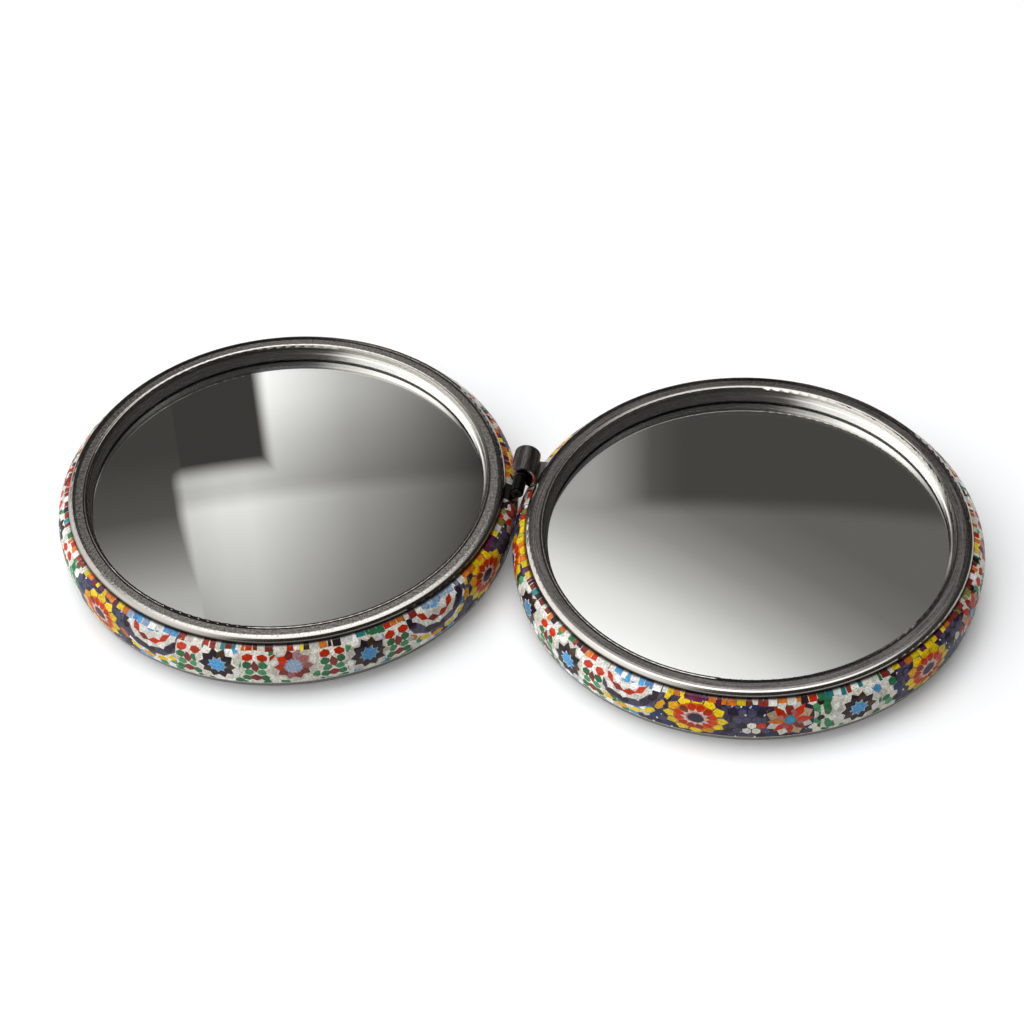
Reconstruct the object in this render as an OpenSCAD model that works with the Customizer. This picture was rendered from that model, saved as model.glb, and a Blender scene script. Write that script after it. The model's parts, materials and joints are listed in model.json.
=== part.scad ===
// Round folding compact mirror, lying open and flat with both mirrors up.
// Two equal cases stand on Z = 0. X runs along the line of their centres, the hinge pin
// along Y above the origin. The base is at +X and the lid, which turns, at -X.
// A half is modelled round its own centre with the hinge towards -X, then placed.

/* [Case] */
// Diameter of each case at its widest line
case_d = 70; // [60:1:80]
// Height of each case, from the face it lies on to the bezel's top
half_h = 9.5; // [8:0.1:11]
// How far the bezel's top stands above the mouth of the case
bezel_rise = 0.9; // [0.85:0.05:1]
// Radius of the shoulder between the widest line and the bezel
shoulder_r = 3; // [2.6:0.1:3.2]
// Radius of the gently bulging side below the widest line
side_r = 16; // [12:1:30]
// Radius of the corner between the side and the face that the case lies on
corner_r = 2.4; // [1.8:0.1:3]
// Thickness of the printed film
film_t = 0.2; // [0.15:0.05:0.3]
// Thickness of the glue between the film and the shell
glue_t = 0.03; // [0.02:0.01:0.05]
// Thickness of the pressed shell
shell_t = 0.42; // [0.3:0.02:0.5]
// Width of the flat mouth flange that is turned in under the bezel
flange_w = 1; // [0.6:0.1:1.1]

/* [Bezel] */
// How far the bezel's outer edge lies in from the case's widest line
bezel_inset = 1.9; // [1.7:0.1:2.1]
// Width of the bezel from its outer edge to its inner lip
bezel_w = 2.9; // [2.8:0.05:3]
// Thickness of the bezel's sheet
bezel_t = 0.45; // [0.35:0.05:0.5]
// Radius of the bezel's rounded outer edge
edge_round_r = 0.7; // [0.6:0.05:0.75]
// Radius of the rolled inner lip
lip_r = 0.25; // [0.2:0.05:0.3]
// How far the flat face lies below the tops of its two edges
face_drop = 0.08; // [0.04:0.02:0.12]
// Depth of the mirror below the bezel's top
recess_h = 2.15; // [1.9:0.05:2.3]
// Depth of the small step in the inner wall below the bezel's top
step_depth = 1.15; // [0.9:0.05:1.3]
// Width of that step
step_w = 0.2; // [0.1:0.05:0.25]
// Lean of the inner wall above the step, and again below it
wall_lean = 0.15; // [0.1:0.05:0.2]

/* [Mirror] */
// Thickness of the mirror glass
glass_t = 0.7; // [0.6:0.1:1.8]
// How far the glass reaches under the bezel's foot
glass_cover = 0.7; // [0.6:0.05:0.75]
// Thickness of the foam pad behind the glass
pad_t = 0.8; // [0.5:0.1:1]
// How far the pad's edge lies in from the glass's edge
pad_inset = 0.9; // [0.5:0.1:2]

/* [Core] */
// Gap between the glass's edge and the core
glass_play = 0.2; // [0.1:0.05:0.25]
// Thickness of the core's ring wall round the glass
core_wall = 1.4; // [1.2:0.1:1.5]
// Thickness of the core's floor under the pad
core_floor = 1.2; // [0.8:0.1:1.6]
// Thickness of the core's ribs
rib_t = 1; // [0.8:0.1:1.5]
// Number of ribs
rib_count = 12; // [8:2:16]
// Diameter of the core's hub ring
hub_d = 14; // [10:1:24]
// Gap between the core and the shell
core_play = 0.08; // [0.05:0.01:0.12]
// How far the tops of the outer ribs lie below the core's top
rib_drop = 0.9; // [0.6:0.1:1.5]

/* [Magnets] */
// Diameter of a closing magnet
magnet_d = 2.4; // [2:0.1:2.5]
// Height of a closing magnet
magnet_h = 2; // [1:0.1:2.5]
// Spacing of the two magnets of a half
magnet_gap = 14; // [8:1:20]
// Wall of the boss round a magnet
boss_wall = 0.8; // [0.6:0.1:1]
// Gap between a magnet and its pocket
magnet_play = 0.03; // [0.02:0.01:0.05]
// How far a magnet's top lies below the core's top
magnet_drop = 0.4; // [0.35:0.05:0.6]

/* [Hinge] */
// Gap between the two cases at their widest lines, when open
edge_gap = 0.1; // [0.06:0.02:0.3]
// Gap between the two bezels when shut
shut_gap = 0.3; // [0.2:0.05:0.5]
// Diameter of the hinge pin
pin_d = 1; // [0.9:0.05:1.1]
// Running clearance between the pin and the lid's knuckle, on the radius
pin_play = 0.05; // [0.03:0.01:0.08]
// Staked fit between the pin and the base's knuckle, on the radius
stake_play = 0.01; // [0.01:0.005:0.02]
// Outer diameter of the two knuckles
knuckle_d = 2; // [1.9:0.05:2.1]
// Thickness of the hinge's sheet
leaf_t = 0.35; // [0.3:0.01:0.36]
// Outer diameter of the hood over the base's knuckle
hood_d = 4; // [3.8:0.05:4]
// How far the hood's centre lies from the pin, towards the base
hood_shift = 0.25; // [0.2:0.01:0.26]
// Where the lid's knuckle starts along the pin
lid_knuckle_y = 1.9; // [1:0.1:2.5]
// Length of the lid's knuckle
lid_knuckle_l = 3.1; // [2.8:0.1:3.1]
// Where the hood starts along the pin
hood_y = 5.2; // [5.2:0.05:5.4]
// Length of the hood
hood_l = 5.1; // [4.6:0.1:6]
// Length of the base's knuckle
base_knuckle_l = 4.5; // [3.8:0.1:4.6]
// Thickness of the washer between the knuckles
washer_t = 0.2; // [0.15:0.01:0.22]
// End gap on each side of the washer and under the pin's head
end_play = 0.05; // [0.03:0.01:0.08]
// Diameter of the pin's two heads
pin_head_d = 1.6; // [1.4:0.1:1.8]
// Thickness of the pin's heads
pin_head_t = 0.25; // [0.2:0.05:0.3]
// Diameter of the hole in the pin's near end
pin_hole_d = 0.6; // [0.4:0.05:0.7]
// Depth of that hole
pin_hole_l = 0.8; // [0.5:0.1:1.5]
// How far the leaves' seat lies below the core's top
seat_drop = 0.09; // [0.06:0.01:0.12]
// Diameter of a leaf rivet's shank
rivet_d = 0.9; // [0.8:0.05:1]
// Length of a leaf rivet's shank in the core
rivet_l = 1.6; // [1:0.1:2]
// Diameter of a leaf rivet's head
rivet_head_d = 1.5; // [1.3:0.05:1.5]
// Thickness of a leaf rivet's head
rivet_head_t = 0.3; // [0.2:0.02:0.34]
// How far a rivet's centre lies in from the core's edge
rivet_inset = 0.22; // [0.2:0.02:0.3]
// Spacing of the two rivets in the base's leaf
base_rivet_gap = 2.8; // [2.2:0.1:3]
// Spacing of the two rivets in the lid's leaf
lid_rivet_gap = 1.6; // [1.55:0.01:1.6]
// Gap between a leaf and the sides of its notch in the case
notch_play = 0.15; // [0.1:0.05:0.2]

/* [Hidden] */
$fn = 128;
// Overrun of every cut past the face that it opens
over = 1;
case_r = case_d / 2;
half_x = case_r + edge_gap / 2;
axis_z = half_h + shut_gap / 2;
// Height of the mouth, and of the widest line below it
flange_z = half_h - bezel_rise;
widest_h = flange_z - shoulder_r;
// Centres of the arcs of the case's section
shoulder_c = case_r - shoulder_r;
side_c = case_r - side_r;
corner_c = side_c + sqrt(pow(side_r - corner_r, 2) - pow(widest_h - corner_r, 2));
side_end = asin((widest_h - corner_r) / (side_r - corner_r));
mouth_r = shoulder_c - flange_w;
// Insets of the nested skins from the outside of the film
shell_inset = film_t + glue_t;
core_inset = shell_inset + shell_t + core_play;
// Bezel and mirror
bezel_ro = case_r - bezel_inset;
bezel_ri = bezel_ro - bezel_w;
face_z = half_h - face_drop;
foot_r = bezel_ri - 2 * wall_lean - step_w;
glass_z = half_h - recess_h;
glass_r = foot_r + glass_cover;
pad_z = glass_z - glass_t;
floor_z = pad_z - pad_t;
// Core
pocket_r = glass_r + glass_play;
core_r = pocket_r + core_wall;
core_top = flange_z - core_inset;
magnet_c = pocket_r + magnet_d / 2 + glass_play;
magnet_top = core_top - magnet_drop;
magnet_z = magnet_top - magnet_h;
// Hinge
pin_r = pin_d / 2;
knuckle_r = knuckle_d / 2;
hood_r = hood_d / 2;
// The lower strap of each leaf lies on this seat in the core
seat_z = core_top - seat_drop;
lid_knuckle_end = lid_knuckle_y + lid_knuckle_l;
base_knuckle_y = lid_knuckle_end + 2 * end_play + washer_t;
base_knuckle_end = base_knuckle_y + base_knuckle_l;
hood_end = hood_y + hood_l;
leaf_end_r = pocket_r + glass_play;
rivet_c = core_r - rivet_inset;
// Angle at which the hood's sheet goes into the base, and where its free edge ends nearest
hood_in_angle = -45;
hood_near_angle = 131;

// Section of one case, with every surface set in by the same amount
module case_section(inset) {
    split_z = widest_h - (side_r - inset) * sin(side_end);
    intersection() {
        translate([shoulder_c, widest_h]) circle(r = shoulder_r - inset);
        translate([shoulder_c, widest_h]) square(shoulder_r);
    }
    translate([0, widest_h]) square([shoulder_c, shoulder_r - inset]);
    intersection() {
        translate([side_c, widest_h]) circle(r = side_r - inset);
        translate([0, split_z]) square([case_r, widest_h - split_z]);
    }
    translate([0, split_z]) square([side_c, widest_h - split_z]);
    intersection() {
        translate([corner_c, corner_r]) circle(r = corner_r - inset);
        translate([corner_c, 0]) square([case_r, split_z]);
    }
    translate([0, inset]) square([corner_c, split_z - inset]);
}

// Skin of a case between two insets, open at the mouth
module case_skin(inset, thickness) {
    rotate_extrude() difference() {
        case_section(inset);
        case_section(inset + thickness);
        translate([0, widest_h]) square([mouth_r, shoulder_r + over]);
    }
}

// Puts a half in place: the base as it is, the lid mirrored across the hinge
module place_base() { translate([half_x, 0, 0]) children(); }
module place_lid() { mirror([1, 0, 0]) place_base() children(); }

// Cut that lets a hinge leaf out of the case, above the leaf's seat
module leaf_notch(from_y, length, z) {
    translate([-half_x, from_y - notch_play, z])
        cube([case_r, length + 2 * notch_play, half_h]);
}

module mosaic_wrap(from_y, length) {
    difference() {
        case_skin(0, film_t);
        leaf_notch(from_y, length, seat_z - notch_play);
    }
}

module case_shell(from_y, length) {
    difference() {
        case_skin(shell_inset, shell_t);
        leaf_notch(from_y, length, seat_z - notch_play);
    }
}

module bezel_tape(from_y, length) {
    difference() {
        translate([0, 0, flange_z]) cylinder(r = shoulder_c, h = face_z - bezel_t - flange_z);
        translate([0, 0, flange_z - over]) cylinder(r = mouth_r, h = half_h);
        leaf_notch(from_y, length, seat_z);
    }
}

module bezel_section() {
    edge_c = bezel_ro - edge_round_r;
    lip_c = bezel_ri + lip_r;
    step_z = half_h - step_depth;
    upper_r = bezel_ri - wall_lean;
    lower_r = upper_r - step_w;
    translate([edge_c, half_h - edge_round_r]) intersection() {
        difference() {
            circle(r = edge_round_r);
            circle(r = edge_round_r - bezel_t);
        }
        square(edge_round_r);
    }
    translate([bezel_ro - bezel_t, flange_z])
        square([bezel_t, half_h - edge_round_r - flange_z]);
    translate([lip_c, face_z - bezel_t]) square([edge_c - lip_c, bezel_t]);
    translate([lip_c, half_h - lip_r]) circle(r = lip_r);
    polygon([
        [bezel_ri, half_h - lip_r],
        [upper_r, step_z],
        [lower_r, step_z - step_w],
        [foot_r, glass_z],
        [foot_r + bezel_t, glass_z],
        [lower_r + bezel_t, step_z - bezel_t],
        [upper_r + bezel_t, step_z],
        [bezel_ri + bezel_t, half_h - lip_r]
    ]);
}

module bezel() { rotate_extrude() bezel_section(); }

module mirror_glass() { translate([0, 0, pad_z]) cylinder(r = glass_r, h = glass_t); }

module mirror_pad() { translate([0, 0, floor_z]) cylinder(r = glass_r - pad_inset, h = pad_t); }

// Centres of a half's magnets, opposite the hinge
module at_magnets() {
    for (side = [-1, 1])
        rotate(side * asin(magnet_gap / 2 / magnet_c)) translate([magnet_c, 0, 0]) children();
}

// Centres of a leaf's rivets, on the circle where the core carries them
module at_rivets(middle_y, gap) {
    for (side = [-1, 1])
        rotate(180 - asin((middle_y + side * gap / 2) / rivet_c))
            translate([rivet_c, 0, 0]) children();
}

module core(from_y, length, rivet_gap) {
    difference() {
        intersection() {
            rotate_extrude() case_section(core_inset);
            union() {
                translate([0, 0, floor_z - core_floor]) cylinder(r = core_r, h = core_floor);
                difference() {
                    cylinder(r = core_r, h = core_top);
                    translate([0, 0, -over]) cylinder(r = pocket_r, h = half_h);
                }
                difference() {
                    cylinder(r = hub_d / 2, h = floor_z);
                    translate([0, 0, -over]) cylinder(r = hub_d / 2 - rib_t, h = half_h);
                }
                for (i = [0:rib_count - 1])
                    rotate((i + 0.5) * 360 / rib_count)
                        translate([hub_d / 2 - rib_t / 2, -rib_t / 2, 0])
                            cube([case_r, rib_t, core_top - rib_drop]);
                at_magnets() cylinder(r = magnet_d / 2 + boss_wall, h = core_top);
                translate([-case_r, lid_knuckle_y - rib_t, 0])
                    cube([case_r - pocket_r + core_wall, hood_end - lid_knuckle_y + 2 * rib_t, core_top]);
            }
        }
        translate([0, 0, floor_z]) cylinder(r = pocket_r, h = half_h);
        translate([0, 0, magnet_z]) at_magnets()
            cylinder(r = magnet_d / 2 + magnet_play, h = half_h);
        leaf_notch(from_y, length, seat_z);
        translate([0, 0, seat_z - rivet_l]) at_rivets(from_y + length / 2, rivet_gap)
            cylinder(r = rivet_d / 2 + stake_play, h = half_h);
    }
}

module magnets() { translate([0, 0, magnet_z]) at_magnets() cylinder(d = magnet_d, h = magnet_h); }

module rivets(middle_y, gap, straps) {
    shank_l = rivet_l + straps * leaf_t;
    at_rivets(middle_y, gap) translate([0, 0, seat_z - rivet_l]) {
        cylinder(d = rivet_d, h = shank_l);
        translate([0, 0, shank_l]) cylinder(d = rivet_head_d, h = rivet_head_t);
    }
}

// Runs a section drawn across the pin along the pin
module along_pin(from_y, length) {
    translate([0, from_y + length, 0]) rotate([90, 0, 0]) linear_extrude(length) children();
}

// Trims a strap to the room between the glass and the notch, and drills it for its rivets
module trim_strap(middle_y, gap) {
    difference() {
        children();
        translate([half_x, 0, 0]) {
            cylinder(r = leaf_end_r, h = half_h);
            at_rivets(middle_y, gap) cylinder(r = rivet_d / 2 + stake_play, h = half_h);
        }
    }
}

// Knuckle with the strap that comes down from it to the seat in the core
module leaf_section(bore_r) {
    bend_x = knuckle_r + leaf_t;
    difference() {
        union() {
            translate([0, axis_z]) circle(r = knuckle_r);
            polygon([
                [0, axis_z - knuckle_r],
                [bend_x - leaf_t / 2, seat_z],
                [half_x, seat_z],
                [half_x, seat_z + leaf_t],
                [bend_x, seat_z + leaf_t],
                [leaf_t, axis_z - knuckle_r + leaf_t],
                [0, axis_z - knuckle_r + leaf_t]
            ]);
        }
        translate([0, axis_z]) circle(r = bore_r);
    }
}

module hood_section() {
    strap_x = hood_shift + (hood_r - leaf_t) * cos(hood_in_angle);
    translate([hood_shift, axis_z]) difference() {
        circle(r = hood_r);
        circle(r = hood_r - leaf_t);
        polygon([[0, 0], [hood_d * cos(hood_in_angle), hood_d * sin(hood_in_angle)],
            [-hood_d, hood_d * sin(hood_in_angle)], [-hood_d, 0]]);
    }
    translate([strap_x, seat_z + leaf_t]) square([half_x - strap_x, leaf_t]);
}

module mosaic_wrap_base() { color("firebrick") place_base() mosaic_wrap(hood_y, hood_l); }
module mosaic_wrap_lid() { color("firebrick") place_lid() mosaic_wrap(lid_knuckle_y, lid_knuckle_l); }
module case_shell_base() { color("lightgrey") place_base() case_shell(hood_y, hood_l); }
module case_shell_lid() { color("lightgrey") place_lid() case_shell(lid_knuckle_y, lid_knuckle_l); }
module core_base() { color("ivory") place_base() core(hood_y, hood_l, base_rivet_gap); }
module core_lid() { color("ivory") place_lid() core(lid_knuckle_y, lid_knuckle_l, lid_rivet_gap); }
module mirror_pad_base() { color("black") place_base() mirror_pad(); }
module mirror_pad_lid() { color("black") place_lid() mirror_pad(); }
module mirror_base() { color("silver") place_base() mirror_glass(); }
module mirror_lid() { color("silver") place_lid() mirror_glass(); }
module bezel_tape_base() { color("khaki") place_base() bezel_tape(hood_y, hood_l); }
module bezel_tape_lid() { color("khaki") place_lid() bezel_tape(lid_knuckle_y, lid_knuckle_l); }
module bezel_base() { color("dimgrey") place_base() bezel(); }
module bezel_lid() { color("dimgrey") place_lid() bezel(); }
module magnets_base() { color("slategrey") place_base() magnets(); }
module magnets_lid() { color("slategrey") place_lid() magnets(); }

module leaf_base() {
    color("grey") trim_strap(hood_y + hood_l / 2, base_rivet_gap)
        along_pin(base_knuckle_y, base_knuckle_l) leaf_section(pin_r + stake_play);
}

module leaf_lid() {
    color("grey") mirror([1, 0, 0]) trim_strap(lid_knuckle_y + lid_knuckle_l / 2, lid_rivet_gap)
        along_pin(lid_knuckle_y, lid_knuckle_l) leaf_section(pin_r + pin_play);
}

// The hood's free edge runs slantwise: it ends high at the near end and level with the pin
// at the far end
module hinge_hood() {
    near_rise = hood_r * sin(hood_near_angle);
    color("dimgrey") difference() {
        trim_strap(hood_y + hood_l / 2, base_rivet_gap) along_pin(hood_y, hood_l) hood_section();
        translate([hood_shift - hood_d, hood_end, axis_z]) rotate([-atan(near_rise / hood_l), 0, 0])
            translate([0, -2 * hood_l, -hood_d]) cube([hood_d, 3 * hood_l, hood_d]);
    }
}

module rivets_base() {
    color("gainsboro") place_base() rivets(hood_y + hood_l / 2, base_rivet_gap, 2);
}

module rivets_lid() {
    color("gainsboro") place_lid() rivets(lid_knuckle_y + lid_knuckle_l / 2, lid_rivet_gap, 1);
}

module hinge_pin() {
    near_y = lid_knuckle_y - end_play - pin_head_t;
    color("gainsboro") difference() {
        translate([0, 0, axis_z]) rotate([-90, 0, 0]) {
            translate([0, 0, near_y]) cylinder(r = pin_r, h = base_knuckle_end + pin_head_t - near_y);
            translate([0, 0, near_y]) cylinder(d = pin_head_d, h = pin_head_t);
            translate([0, 0, base_knuckle_end]) cylinder(d = pin_head_d, h = pin_head_t);
        }
        translate([0, near_y - over, axis_z]) rotate([-90, 0, 0])
            cylinder(d = pin_hole_d, h = pin_hole_l + over);
    }
}

module hinge_washer() {
    color("silver") translate([0, lid_knuckle_end + end_play, axis_z]) rotate([-90, 0, 0])
        difference() {
            cylinder(r = knuckle_r, h = washer_t);
            translate([0, 0, -over]) cylinder(r = pin_r + pin_play, h = washer_t + 2 * over);
        }
}

mosaic_wrap_base();
case_shell_base();
core_base();
mirror_pad_base();
mirror_base();
bezel_tape_base();
bezel_base();
magnets_base();
leaf_base();
hinge_hood();
rivets_base();
mosaic_wrap_lid();
case_shell_lid();
core_lid();
mirror_pad_lid();
mirror_lid();
bezel_tape_lid();
bezel_lid();
magnets_lid();
leaf_lid();
rivets_lid();
hinge_pin();
hinge_washer();
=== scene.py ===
"""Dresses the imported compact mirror: tile-printed film, plated bezels, silvered glass and hinge.

Sizes are in millimetres and become Blender's metres in the functions that build meshes. Angles
round a case are in degrees from +X, as seen from above.
"""
from __future__ import annotations

import json
import logging
import math
import random
from dataclasses import dataclass
from enum import Enum
from typing import Any, Callable, Iterable, NamedTuple

import bmesh
import bpy
from mathutils import Matrix, Vector
from mathutils.geometry import delaunay_2d_cdt

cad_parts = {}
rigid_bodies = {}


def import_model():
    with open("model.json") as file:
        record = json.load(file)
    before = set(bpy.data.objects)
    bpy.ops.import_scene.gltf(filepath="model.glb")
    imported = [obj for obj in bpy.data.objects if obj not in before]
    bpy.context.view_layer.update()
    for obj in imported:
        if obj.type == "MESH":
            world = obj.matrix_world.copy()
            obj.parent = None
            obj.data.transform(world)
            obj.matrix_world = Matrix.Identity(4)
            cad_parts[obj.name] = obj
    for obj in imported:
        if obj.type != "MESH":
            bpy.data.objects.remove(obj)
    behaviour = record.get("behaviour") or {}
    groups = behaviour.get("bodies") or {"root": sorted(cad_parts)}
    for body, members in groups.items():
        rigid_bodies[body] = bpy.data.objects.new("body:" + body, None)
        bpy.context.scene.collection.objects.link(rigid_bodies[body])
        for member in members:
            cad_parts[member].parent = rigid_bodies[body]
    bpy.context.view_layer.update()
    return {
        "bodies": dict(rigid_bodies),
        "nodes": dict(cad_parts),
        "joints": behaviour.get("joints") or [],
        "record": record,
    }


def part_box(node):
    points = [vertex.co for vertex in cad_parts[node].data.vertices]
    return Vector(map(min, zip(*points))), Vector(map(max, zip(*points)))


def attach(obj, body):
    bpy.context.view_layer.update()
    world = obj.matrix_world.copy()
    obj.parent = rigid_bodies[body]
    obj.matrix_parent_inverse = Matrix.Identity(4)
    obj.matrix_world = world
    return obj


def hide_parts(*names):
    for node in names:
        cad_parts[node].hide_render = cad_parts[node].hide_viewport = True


MM = 0.001
LOG = logging.getLogger("compact_mirror")

Point = tuple[float, float]


def linear(hex_colour: str) -> tuple[float, float, float, float]:
    """Turns an sRGB hex colour into Blender's linear colour.

    Args:
        hex_colour: Six hex digits, such as "E8E2D0".

    Returns:
        Red, green, blue and an alpha of 1.
    """
    parts = [int(hex_colour[i:i + 2], 16) / 255 for i in (0, 2, 4)]
    bent = [p / 12.92 if p <= 0.04045 else ((p + 0.055) / 1.055) ** 2.4 for p in parts]
    return (*bent, 1.0)


def add_node(tree: bpy.types.NodeTree, kind: str, inputs: dict | None = None,
             **settings: Any) -> bpy.types.Node:
    """Adds a node, sets its settings, and fills or links its inputs.

    Args:
        tree: The node tree that gets the node.
        kind: The node's type name, without the word ShaderNode.
        inputs: Values or output sockets, by input name or number.
        **settings: Attributes of the node itself.

    Returns:
        The new node.
    """
    node = tree.nodes.new("ShaderNode" + kind)
    for name, value in settings.items():
        setattr(node, name, value)
    for key, value in (inputs or {}).items():
        if isinstance(value, bpy.types.NodeSocket):
            tree.links.new(value, node.inputs[key])
        else:
            node.inputs[key].default_value = value
    return node


def set_ramp(node: bpy.types.Node, stops: dict[float, tuple | float],
             interpolation: str = "LINEAR") -> bpy.types.NodeSocket:
    """Gives a colour ramp its stops.

    Args:
        node: The ramp's node.
        stops: Colour, or grey level, by position from 0 to 1.
        interpolation: Blender's name for the way between stops.

    Returns:
        The ramp's colour output.
    """
    ramp = node.color_ramp
    ramp.interpolation = interpolation
    while len(ramp.elements) > 1:
        ramp.elements.remove(ramp.elements[-1])
    for i, (place, value) in enumerate(stops.items()):
        element = ramp.elements[0] if i == 0 else ramp.elements.new(place)
        element.position = place
        element.color = value if isinstance(value, tuple) else (value, value, value, 1)
    return node.outputs["Color"]


class Sketch:
    """A material being made, with short ways to the sums that its nodes do."""

    def __init__(self, name: str) -> None:
        """Starts an empty node material of that name."""
        self.material = bpy.data.materials.new(name)
        self.material.use_nodes = True
        self.tree = self.material.node_tree
        self.tree.nodes.clear()

    def add(self, kind: str, inputs: dict | None = None, **settings: Any) -> bpy.types.Node:
        """Adds a node to this material."""
        return add_node(self.tree, kind, inputs, **settings)

    def sum(self, operation: str, *values: Any) -> bpy.types.NodeSocket:
        """Adds one step of arithmetic and returns its result."""
        node = self.add("Math", dict(enumerate(values)), operation=operation)
        return node.outputs[0]

    def between(self, value: Any, low: float, high: float, start: Any = 0.0,
                end: Any = 1.0) -> bpy.types.NodeSocket:
        """Maps a value smoothly from low..high to start..end and returns the result."""
        node = self.add("MapRange", {"Value": value, "From Min": low, "From Max": high,
                                     "To Min": start, "To Max": end},
                        interpolation_type="SMOOTHSTEP")
        return node.outputs["Result"]

    def noise(self, size: float, vector: Any = None, detail: float = 3,
              roughness: float = 0.55) -> bpy.types.NodeSocket:
        """Adds noise whose lumps are about size millimetres across and returns its level."""
        place = vector or self.place()
        node = self.add("TexNoise", {"Vector": place, "Scale": 1 / (size * MM),
                                     "Detail": detail, "Roughness": roughness})
        return node.outputs["Fac"]

    def place(self) -> bpy.types.NodeSocket:
        """Returns the point on the piece, in its own metres."""
        return self.add("TexCoord").outputs["Object"]

    def blend(self, factor: Any, first: Any, second: Any,
              blend_type: str = "MIX") -> bpy.types.NodeSocket:
        """Mixes two colours and returns the result."""
        node = self.add("Mix", {0: factor, 6: first, 7: second}, data_type="RGBA",
                        blend_type=blend_type)
        return node.outputs[2]

    def bump(self, height: Any, depth: float, strength: float = 1.0) -> bpy.types.NodeSocket:
        """Turns a height from 0 to 1 into a normal for relief that is depth millimetres deep."""
        node = self.add("Bump", {"Height": height, "Distance": depth * MM,
                                 "Strength": strength})
        return node.outputs["Normal"]

    def finish(self, **inputs: Any) -> bpy.types.Material:
        """Ends the material with one principled shader.

        Args:
            **inputs: Its inputs, with underscores for the spaces in their names.

        Returns:
            The material.
        """
        named = {name.replace("_", " "): value for name, value in inputs.items()}
        shader = self.add("BsdfPrincipled", named)
        self.add("OutputMaterial", {"Surface": shader.outputs[0]})
        return self.material


class Glaze(Enum):
    """The colours of the printed tiles, and of the film between and beyond them."""

    # grey of the bare film, partly painted shade: low on the side it stands for the gloss
    # reflecting the shadowed table
    BARE_WITH_SHADE = "7B7874"
    GROUT = "D8D2C4"
    CREAM = "EAE5D8"
    SAND = "C9A98A"
    WHITE = "F8F6F0"
    SLATE = "544E66"
    DUSK = "35303F"
    INK = "30232A"
    UMBER = "4A3624"
    NAVY = "2B3C66"
    SKY = "55A3DA"
    AZURE = "3677BC"
    LAVENDER = "9DB3CC"
    TEAL = "2F8C90"
    GREEN = "33754A"
    LEAF = "4E9C69"
    OLIVE = "8B8A45"
    RED = "CC3416"
    BRICK = "8F352C"
    ROSE = "AC6B68"
    ORANGE = "E27B25"
    AMBER = "E5A314"
    YELLOW = "F4D01A"
    MAUVE = "B98C8E"
    PLUM = "6C2A4C"

    @property
    def level(self) -> float:
        """Where this colour lies on the film's colour ramp, in the middle of its step."""
        kinds = list(Glaze)
        return (kinds.index(self) + 0.5) / len(kinds)


class Tile(NamedTuple):
    """One printed tile: its colour, its outline in millimetres, and its tone from 0 to 1."""

    glaze: Glaze
    outline: list[Point]
    tone: float = 0.5


@dataclass(frozen=True)
class Spot:
    """Where a motif lies on the print, and how large it is there."""

    x: float
    y: float
    width: float = 1.0
    height: float = 1.0
    turn: float = 0.0

    def put(self, point: Point) -> Point:
        """Moves a point of the motif's own drawing to its place."""
        cos, sin = math.cos(self.turn), math.sin(self.turn)
        across = point[0] * cos - point[1] * sin
        down = point[0] * sin + point[1] * cos
        return self.x + across * self.width, self.y + down * self.height


def polar(radius: float, angle: float) -> Point:
    """Returns the point at a radius and an angle in degrees."""
    return radius * math.cos(math.radians(angle)), radius * math.sin(math.radians(angle))


def star(tips: int, outer: float, inner: float, turn: float = 0.0) -> list[Point]:
    """Returns a star's outline, or with equal radii a polygon of twice as many corners."""
    step = 180 / tips
    return [polar(inner if i % 2 else outer, turn + i * step) for i in range(2 * tips)]


def petal(angle: float, root: float, root_half: float, belly: float, belly_half: float,
          tip: float) -> list[Point]:
    """Returns a five-cornered petal that points outwards.

    Args:
        angle: Direction of the petal in degrees.
        root: Radius of its inner end.
        root_half: Half its width there.
        belly: Radius at its widest.
        belly_half: Half its width there.
        tip: Radius of its point.

    Returns:
        The outline.
    """
    cos, sin = polar(1, angle)
    shape = [(root, root_half), (root, -root_half), (belly, -belly_half), (tip, 0),
             (belly, belly_half)]
    return [(a * cos - b * sin, a * sin + b * cos) for a, b in shape]


def lozenge(x: float, y: float, half_w: float, half_h: float, shoulder: float = 0.0,
            turn: float = 0.0) -> list[Point]:
    """Returns a lozenge, or with a shoulder above 0 a hexagon, round a centre.

    Args:
        x: Centre across.
        y: Centre down.
        half_w: Half its width.
        half_h: Half its height.
        shoulder: Share of the half height at which its sides begin to close in.
        turn: Its turn in degrees.

    Returns:
        The outline.
    """
    rise = half_h * shoulder
    shape = [(half_w, rise), (0, half_h), (-half_w, rise), (-half_w, -rise), (0, -half_h),
             (half_w, -rise)]
    if shoulder == 0:
        shape = [(half_w, 0), (0, half_h), (-half_w, 0), (0, -half_h)]
    cos, sin = polar(1, turn)
    return [(x + a * cos - b * sin, y + a * sin + b * cos) for a, b in shape]


def ring(count: int, radius: float, turn: float = 0.0) -> Iterable[tuple[float, Point]]:
    """Yields the angle and centre of each of count places round a circle."""
    for i in range(count):
        angle = turn + i * 360 / count
        yield angle, polar(radius, angle)


def ring_tiles(glazes: tuple[Glaze, ...], count: int, radius: float, half_w: float,
               half_h: float, shoulder: float = 0.5, turn: float = 0.0) -> list[Tile]:
    """Returns tiles round a circle, with their heights along its radius.

    Args:
        glazes: The colours, used in turn.
        count: Number of tiles.
        radius: Radius of the circle through their centres.
        half_w: Half their width along the circle.
        half_h: Half their height along the radius.
        shoulder: As for a lozenge.
        turn: Angle of the first tile in degrees.

    Returns:
        The tiles.
    """
    return [Tile(glazes[i % len(glazes)], lozenge(*at, half_w, half_h, shoulder, angle - 90))
            for i, (angle, at) in enumerate(ring(count, radius, turn))]


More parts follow.
